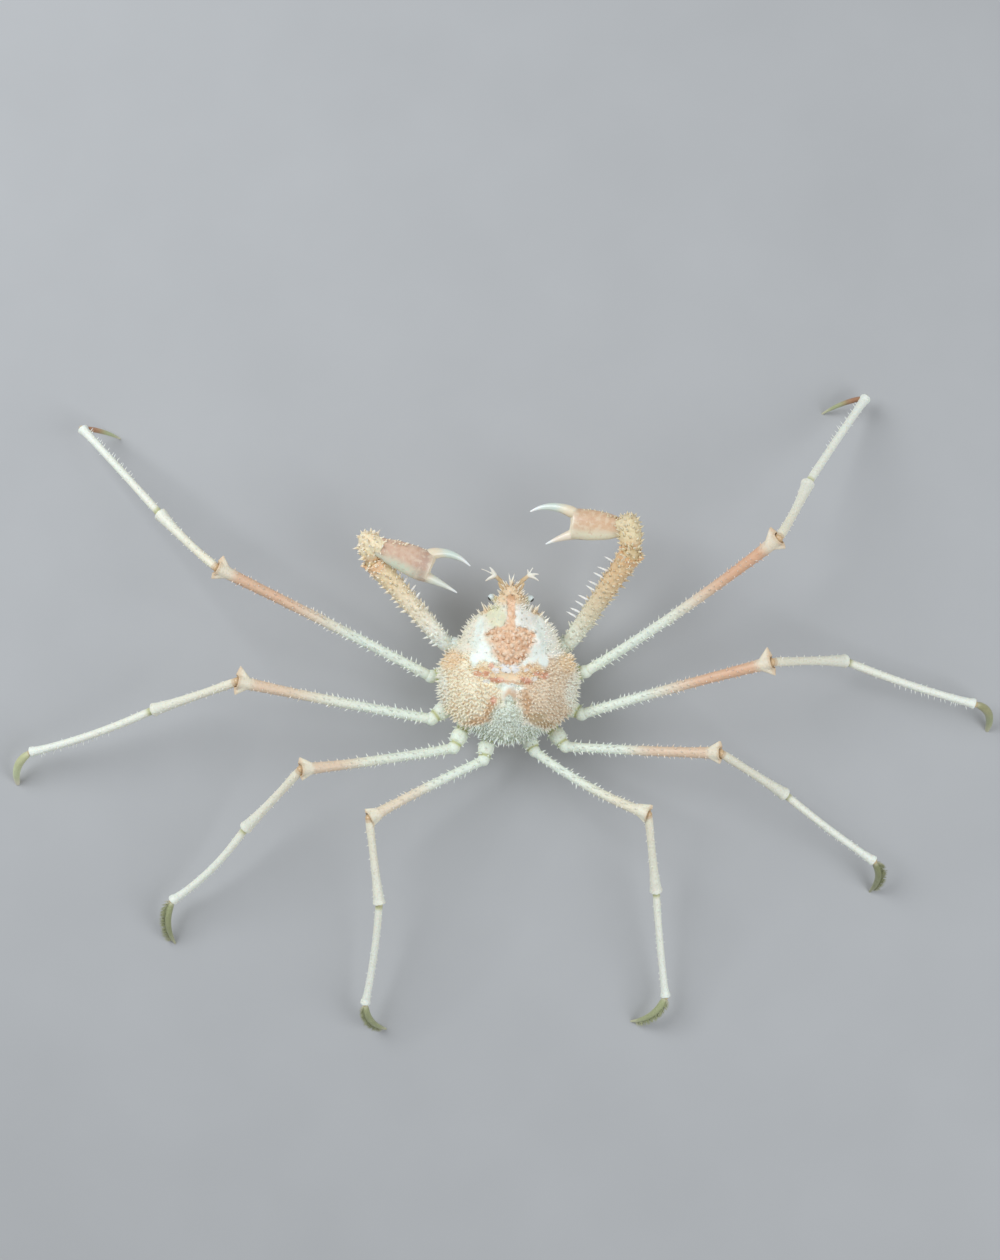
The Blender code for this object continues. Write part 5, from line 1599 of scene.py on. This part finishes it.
for side, sign in SIDES:
    hip, knee, elbow, wrist, palm_end = (Vector(p) for p in CLAW_POSE[side])
    root = mirrored(COXA_ROOTS[1], sign)
    thigh = link_points(hip, knee, 0.0)
    inner = UP.cross(knee - hip).normalized() * sign + UP * 0.3
    crest = (palm_end - wrist).cross(UP).normalized() * sign
    top = straight(wrist, palm_end)
    base_line = straight(root, hip)
    fore = link_points(knee, elbow, 0.0)
    rows = [
        thorns_round(base_line, [3.9, 3.8, 3.3], 2.2, 1.5, 0.5, -1.0, 0.0, (0.45, 0.9)),
        thorns_round(thigh, CLAW_MERUS_RADII, 2.15, 2.2, 0.64, 0.0, -0.05, lean=0.6),
        thorns_round(thigh, CLAW_MERUS_RADII, 1.8, 1.4, 0.55, 0.0, 0.0, (0.9, 1.0)),
        thorns_round(fore, CLAW_CARPUS_RADII, 2.0, 2.2, 0.7, 1.0, 0.0, (0.1, 0.9), 0.5),
        thorns_on_egg(elbow.lerp(wrist, 0.25), CROWN_RADII, 2.1, 2.1, 0.75, 1.6),
        thorns_on_egg(elbow.lerp(wrist, 0.7), (3.5, 3.5, 3.5), 1.9, 1.5, 0.6, 1.55),
        thorns_on_egg(elbow, (3.7, 3.7, 3.7), 2.1, 2.0, 0.72, 1.5),
        thorns_on_egg(knee, (5.0, 5.0, 5.0), 2.1, 1.5, 0.65, 0.97),
        thorn_row(top, PALM_RADII, (0.08, 0.75), 11, crest + UP * 0.2, 0.9, 0.42, 1.3),
        thorn_row(top, PALM_RADII, (0.05, 0.4), 6, crest + UP * 0.7, 0.6, 0.4, 1.3),
    ]
    strong = (0.6, 0.3, 0.9) if side == "r" else (0.85, 0.8, 1.0)
    grow_thorns(rows, f"cheliped_{side}_thorns", CLAW_FINISH[side], "claw", strong)
    span, count, length, radius, lean = LONG_SPINES[side]
    rods = [thorn_row(thigh, CLAW_MERUS_RADII, span, count, inner, length, radius, 2.6, lean, 0.5)]
    grow_thorns(rods, f"cheliped_{side}_spines", CLAW_FINISH[side], "claw", strong, BLUNT_WIDTHS)
print("limb thorns done")

# %% [markdown]
# ## Knuckles
# In every joint of a real crab a round knuckle and a fold of thin skin fill the cup. A small ball at each
# joint, finished in warm tan and yellow-green, does for both.

# %% Knuckles in the joints
def knuckle_finish():
    knuckle = Finish("knuckle", Subsurface_Weight=0.15, Coat_Roughness=0.2, **FLESH)
    spot = knuckle.place()
    skin = knuckle.channel("skin")
    cloud = knuckle.grain(spot, 1.2, detail=3.0)
    tan = knuckle.mix(cloud, ink(204, 160, 112), ink(226, 190, 150))
    fold = knuckle.mix(cloud, ink(196, 192, 126), ink(226, 222, 178))
    base = knuckle.mix(skin, tan, fold)
    return knuckle.done(base, 0.35 + 0.2 * cloud, 0.3 + 0.2 * cloud, cloud, 0.0002, 0.6)


KNUCKLE_FINISH = knuckle_finish()


def knuckles(name, slot, rows):
    """Balls at joints, as one piece. Rows: centre, radius, how much of it is bare skin."""
    eggs = []
    for centre, radius, skin in rows:
        egg = ball(centre, (radius,) * 3, 20, 12)
        store(egg, "skin", np.full(len(egg.data.vertices), skin))
        eggs.append(egg)
    piece = joined(eggs)
    soften(piece)
    put_in_place(piece, name, KNUCKLE_FINISH, slot)


# Radius and bareness of the knuckles at hip, knee, shin and ankle, and at a claw's hip, knee and wrist
LEG_KNUCKLES = ((2.45, 1.0), (1.75, 0.15), (1.95, 0.8), (1.6, 0.4))
CLAW_KNUCKLES = ((3.2, 0.7), (3.9, 0.4), (2.4, 0.3))
for number, side in LEG_POSE:
    girth = LEG_GIRTH[number]
    joints = leg_joints(number, side)
    rows = [(centre, radius * girth, skin) for centre, (radius, skin) in zip(joints, LEG_KNUCKLES)]
    knuckles(f"leg{number}_{side}_knuckles", "leg", rows)
for side, _ in SIDES:
    joints = [Vector(CLAW_POSE[side][i]) for i in (0, 1, 3)]
    rows = [(centre, radius, skin) for centre, (radius, skin) in zip(joints, CLAW_KNUCKLES)]
    knuckles(f"cheliped_{side}_knuckles", "claw", rows)
print("knuckles done")

# %% [markdown]
# ## The head
# The eyes are white balls with a glossy black cornea on their outer side, on short stalks that slant
# outwards. Beside the beak stand the stout feelers, which split into three or four pale prongs, and
# between them the small second pair. Small parts like these are looked at closely, so they are modelled
# one by one.

# %% Eyes and feelers
EYE_STALK_ROOT = (4.6, 34.0, 31.0)
EYE_STALK_RADII = (1.15, 1.0, 1.25)
EYE_RADIUS = 1.5
CORNEA_WAY = (0.75, -0.62, 0.22)
CORNEA_EDGE = 0.66
ANTENNA_STALK = ((2.0, 37.5, 29.0), (3.4, 41.0, 29.0), (5.8, 43.4, 28.8), (6.8, 44.2, 28.8))
ANTENNA_RADII = (1.2, 1.15, 0.95, 0.8)
ANTENNA_REACH = {"l": 1.0, "r": 1.08}
# Where each prong of a feeler ends, from the end of its stalk, and its radius at the root
ANTENNA_PRONGS = {
    "l": ((2.6, 3.7, 0.5, 0.95), (4.2, -2.2, -0.3, 0.95), (6.0, 2.8, 0.1, 0.35)),
    "r": ((1.8, 3.4, 0.6, 0.4), (4.3, 0.8, 0.2, 0.75), (4.4, -1.9, -0.3, 0.75), (-0.4, 2.6, 0.8, 0.5)),
}
PRONG_BOW = (0.0, 0.6, 0.4)
FEELER_VOXEL = 0.22
ANTENNULE_STALK = ((2.2, 37.0, 32.4), (4.2, 39.5, 32.4), (5.2, 41.2, 32.6))
ANTENNULE_RADII = (0.9, 0.9, 0.5)


def eye_finish():
    eye = Finish("eye", IOR=1.45, Coat_Roughness=0.02)
    spot = eye.place()
    cornea = eye.step(eye.channel("cornea"), 0.45, 0.55)
    root = eye.channel("stalk")
    cloud = eye.grain(spot, 0.8, detail=3.0)
    white = eye.mix(cloud, ink(204, 216, 206), ink(240, 246, 240))
    base = eye.mix(root, white, eye.mix(cloud, ink(202, 196, 158), ink(228, 222, 188)))
    facets = eye.mix(eye.cells(spot, 0.18), ink(6, 7, 8), ink(30, 28, 26))
    base = eye.mix(cornea, base, facets)
    dull = (0.3 + 0.2 * cloud) * (1 - cornea) + 0.08
    return eye.done(base, dull, 0.2 + 0.8 * cornea, cloud * (1 - cornea), 0.0001, 0.4)


def feeler_finish():
    feeler = Finish("feeler", Subsurface_Weight=0.15, Coat_Roughness=0.2, **FLESH)
    spot = feeler.place()
    reach = feeler.channel("reach")
    cloud = feeler.grain(spot, 1.5, detail=4.0)
    stalk = feeler.mix(cloud, ink(192, 158, 108), ink(232, 206, 162))
    base = feeler.mix(feeler.step(reach, 0.75, 1.35), stalk, ink(244, 236, 218))
    return feeler.done(base, 0.38 + 0.2 * cloud, 0.25 + 0.1 * cloud, cloud, 0.0002, 0.6)


def stretched(points, sign, reach=1.0):
    """Points of one side of the head, pulled out from the first by a factor."""
    start = Vector(points[0])
    longer = [start + (Vector(p) - start) * reach for p in points]
    return [mirrored(p, sign) for p in longer]


EYE_FINISH = eye_finish()
FEELER_FINISH = feeler_finish()
for side, sign in SIDES:
    centre = mirrored(EYE, sign)
    root = mirrored(EYE_STALK_ROOT, sign)
    eyeball = ball(centre, (EYE_RADIUS,) * 3, 32, 24)
    gaze = unit(np.array(mirrored(CORNEA_WAY, sign)))
    facing = unit(vertices_of(eyeball) - np.array(centre)) @ gaze
    store(eyeball, "cornea", np.clip((facing - CORNEA_EDGE) * 2 + 0.5, 0, 1))
    stalk = rod([root, root.lerp(centre, 0.45), root.lerp(centre, 0.75)], EYE_STALK_RADII)
    store(stalk, "stalk", np.ones(len(stalk.data.vertices)))
    eye = joined((eyeball, stalk))
    soften(eye, 50)
    put_in_place(eye, f"eye_{side}_ball", EYE_FINISH, "eye", f"eye_{side}")

    stalk_points = stretched(ANTENNA_STALK, sign, ANTENNA_REACH[side])
    pieces = [rod(*round_path(stalk_points, ANTENNA_RADII, 18))]
    for across, ahead, above, thickness in ANTENNA_PRONGS[side]:
        end = stalk_points[-1] + Vector((across * sign, ahead, above))
        bow = (stalk_points[-1] + end) / 2 + Vector(PRONG_BOW)
        path, sizes = round_path(arc((stalk_points[-1], bow, end)), (thickness, thickness * 0.8, 0.25), 14)
        pieces.append(rod(path, sizes, sides=10))
    feeler = melt(pieces, FEELER_VOXEL, rounds=2)
    away = np.linalg.norm(vertices_of(feeler) - np.array(stalk_points[-1]), axis=1)
    nearer = shares_along(feeler, stalk_points)
    store(feeler, "reach", np.where(nearer < 0.98, nearer, 1 + away / 4.0))
    soften(feeler)
    put_in_place(feeler, f"antenna_{side}_shell", FEELER_FINISH, "horn", f"antenna_{side}")

    points = stretched(ANTENNULE_STALK, sign)
    small = rod(*round_path(points, ANTENNULE_RADII, 16), sides=12)
    store(small, "reach", 0.4 * shares_along(small, points))
    soften(small)
    put_in_place(small, f"antennule_{side}_shell", FEELER_FINISH, "horn", f"antennule_{side}")
print("head done")

# %% [markdown]
# ## The underside
# The picture shows nothing of the belly, so it follows the build of spider crabs in general: a plate for
# every pair of legs, a folded tail of several rings over the middle, and two flat mouth covers.

# %% Plates of the belly
# Grooves between the plates: where they start and end, as a share of the hips' place; half width, depth
PLATE_GROOVE_ENDS = (0.3, 0.62)
PLATE_GROOVE = 0.7
PLATE_DEPTH = 0.9
PLEON_CENTRE = (0.0, -13.0, 15.5)
PLEON_RADII = (8.0, 15.5, 6.0)
# The rings of the tail: where their grooves are, how much they bend, half width and depth
PLEON_RINGS = (-25.0, -20.5, -16.0, -11.5, -7.0, -2.5)
RING_BEND = 0.04
RING_GROOVE = 0.45
RING_DEPTH = 0.07
MAXILLIPED_CENTRE = (3.2, 24.0, 19.5)
MAXILLIPED_RADII = (3.6, 8.5, 5.2)


def belly_finish():
    belly = Finish("belly", Subsurface_Weight=0.15, Coat_Roughness=0.3, **FLESH)
    spot = belly.place()
    groove = belly.channel("groove")
    cloud = belly.grain(spot, 5.0, detail=4.0)
    speck = belly.grain(spot, 0.7, detail=2.0)
    base = belly.mix(cloud, ink(228, 214, 180), ink(236, 230, 212))
    base = belly.mix(0.4 * belly.step(speck, 0.5, 0.7), base, ink(214, 176, 134))
    base = belly.mix(0.8 * groove, base, ink(168, 136, 92))
    return belly.done(base, 0.5 + 0.15 * cloud, 0.12 + 0.1 * cloud, speck + cloud, 0.0003, 0.5)


BELLY_FINISH = belly_finish()
thorax = drawn_body(120, 96, -0.25)
cut_level(thorax, SHELL_SPLIT + 2 * SPLIT_LAP, keep_above=False)
places = vertices_of(thorax)
beside, ahead, high = np.abs(places[:, 0]), places[:, 1], places[:, 2]
groove = np.zeros(len(places))
for number in (1, 2, 3, 4):
    first_x, first_y, _ = COXA_ROOTS[number]
    next_x, next_y, _ = COXA_ROOTS[number + 1]
    start, end = PLATE_GROOVE_ENDS
    outer = ((first_x + next_x) * end, (first_y + next_y) * end)
    near = line_distance(beside, ahead, (0.0, (first_y + next_y) * start), outer)
    groove = np.maximum(groove, dip(near, PLATE_GROOVE))
groove *= smoothed(high, 22.5, 19.0)
places[:, 2] += PLATE_DEPTH * groove
set_vertices(thorax, places)
store(thorax, "groove", groove)
soften(thorax, 45)
put_in_place(thorax, "belly", BELLY_FINISH, "underside", "thorax")

pleon = ball(PLEON_CENTRE, PLEON_RADII, 64, 72)
places = vertices_of(pleon)
rings = np.zeros(len(places))
for level in PLEON_RINGS:
    rings = np.maximum(rings, dip(places[:, 1] - level - RING_BEND * places[:, 0] ** 2, RING_GROOVE))
places = np.array(PLEON_CENTRE) + (places - np.array(PLEON_CENTRE)) * (1 - RING_DEPTH * rings)[:, None]
set_vertices(pleon, places)
store(pleon, "groove", rings)
soften(pleon)
put_in_place(pleon, "tail", BELLY_FINISH, "underside", "pleon")

covers = []
for side, sign in SIDES:
    cover = ball(mirrored(MAXILLIPED_CENTRE, sign), MAXILLIPED_RADII, 40, 48)
    places = vertices_of(cover)
    beside, ahead = np.abs(places[:, 0]), places[:, 1]
    split = dip(ahead - 27.0 + 0.3 * beside, 0.4)
    split = np.maximum(split, dip(beside - 4.9, 0.3) * (ahead < 26))
    places[:, 2] += 0.4 * split * (places[:, 2] < MAXILLIPED_CENTRE[2])
    set_vertices(cover, places)
    store(cover, "groove", split)
    covers.append(cover)
mouth = joined(covers)
soften(mouth)
put_in_place(mouth, "mouth_covers", BELLY_FINISH, "underside", "maxillipeds")
print("underside done")
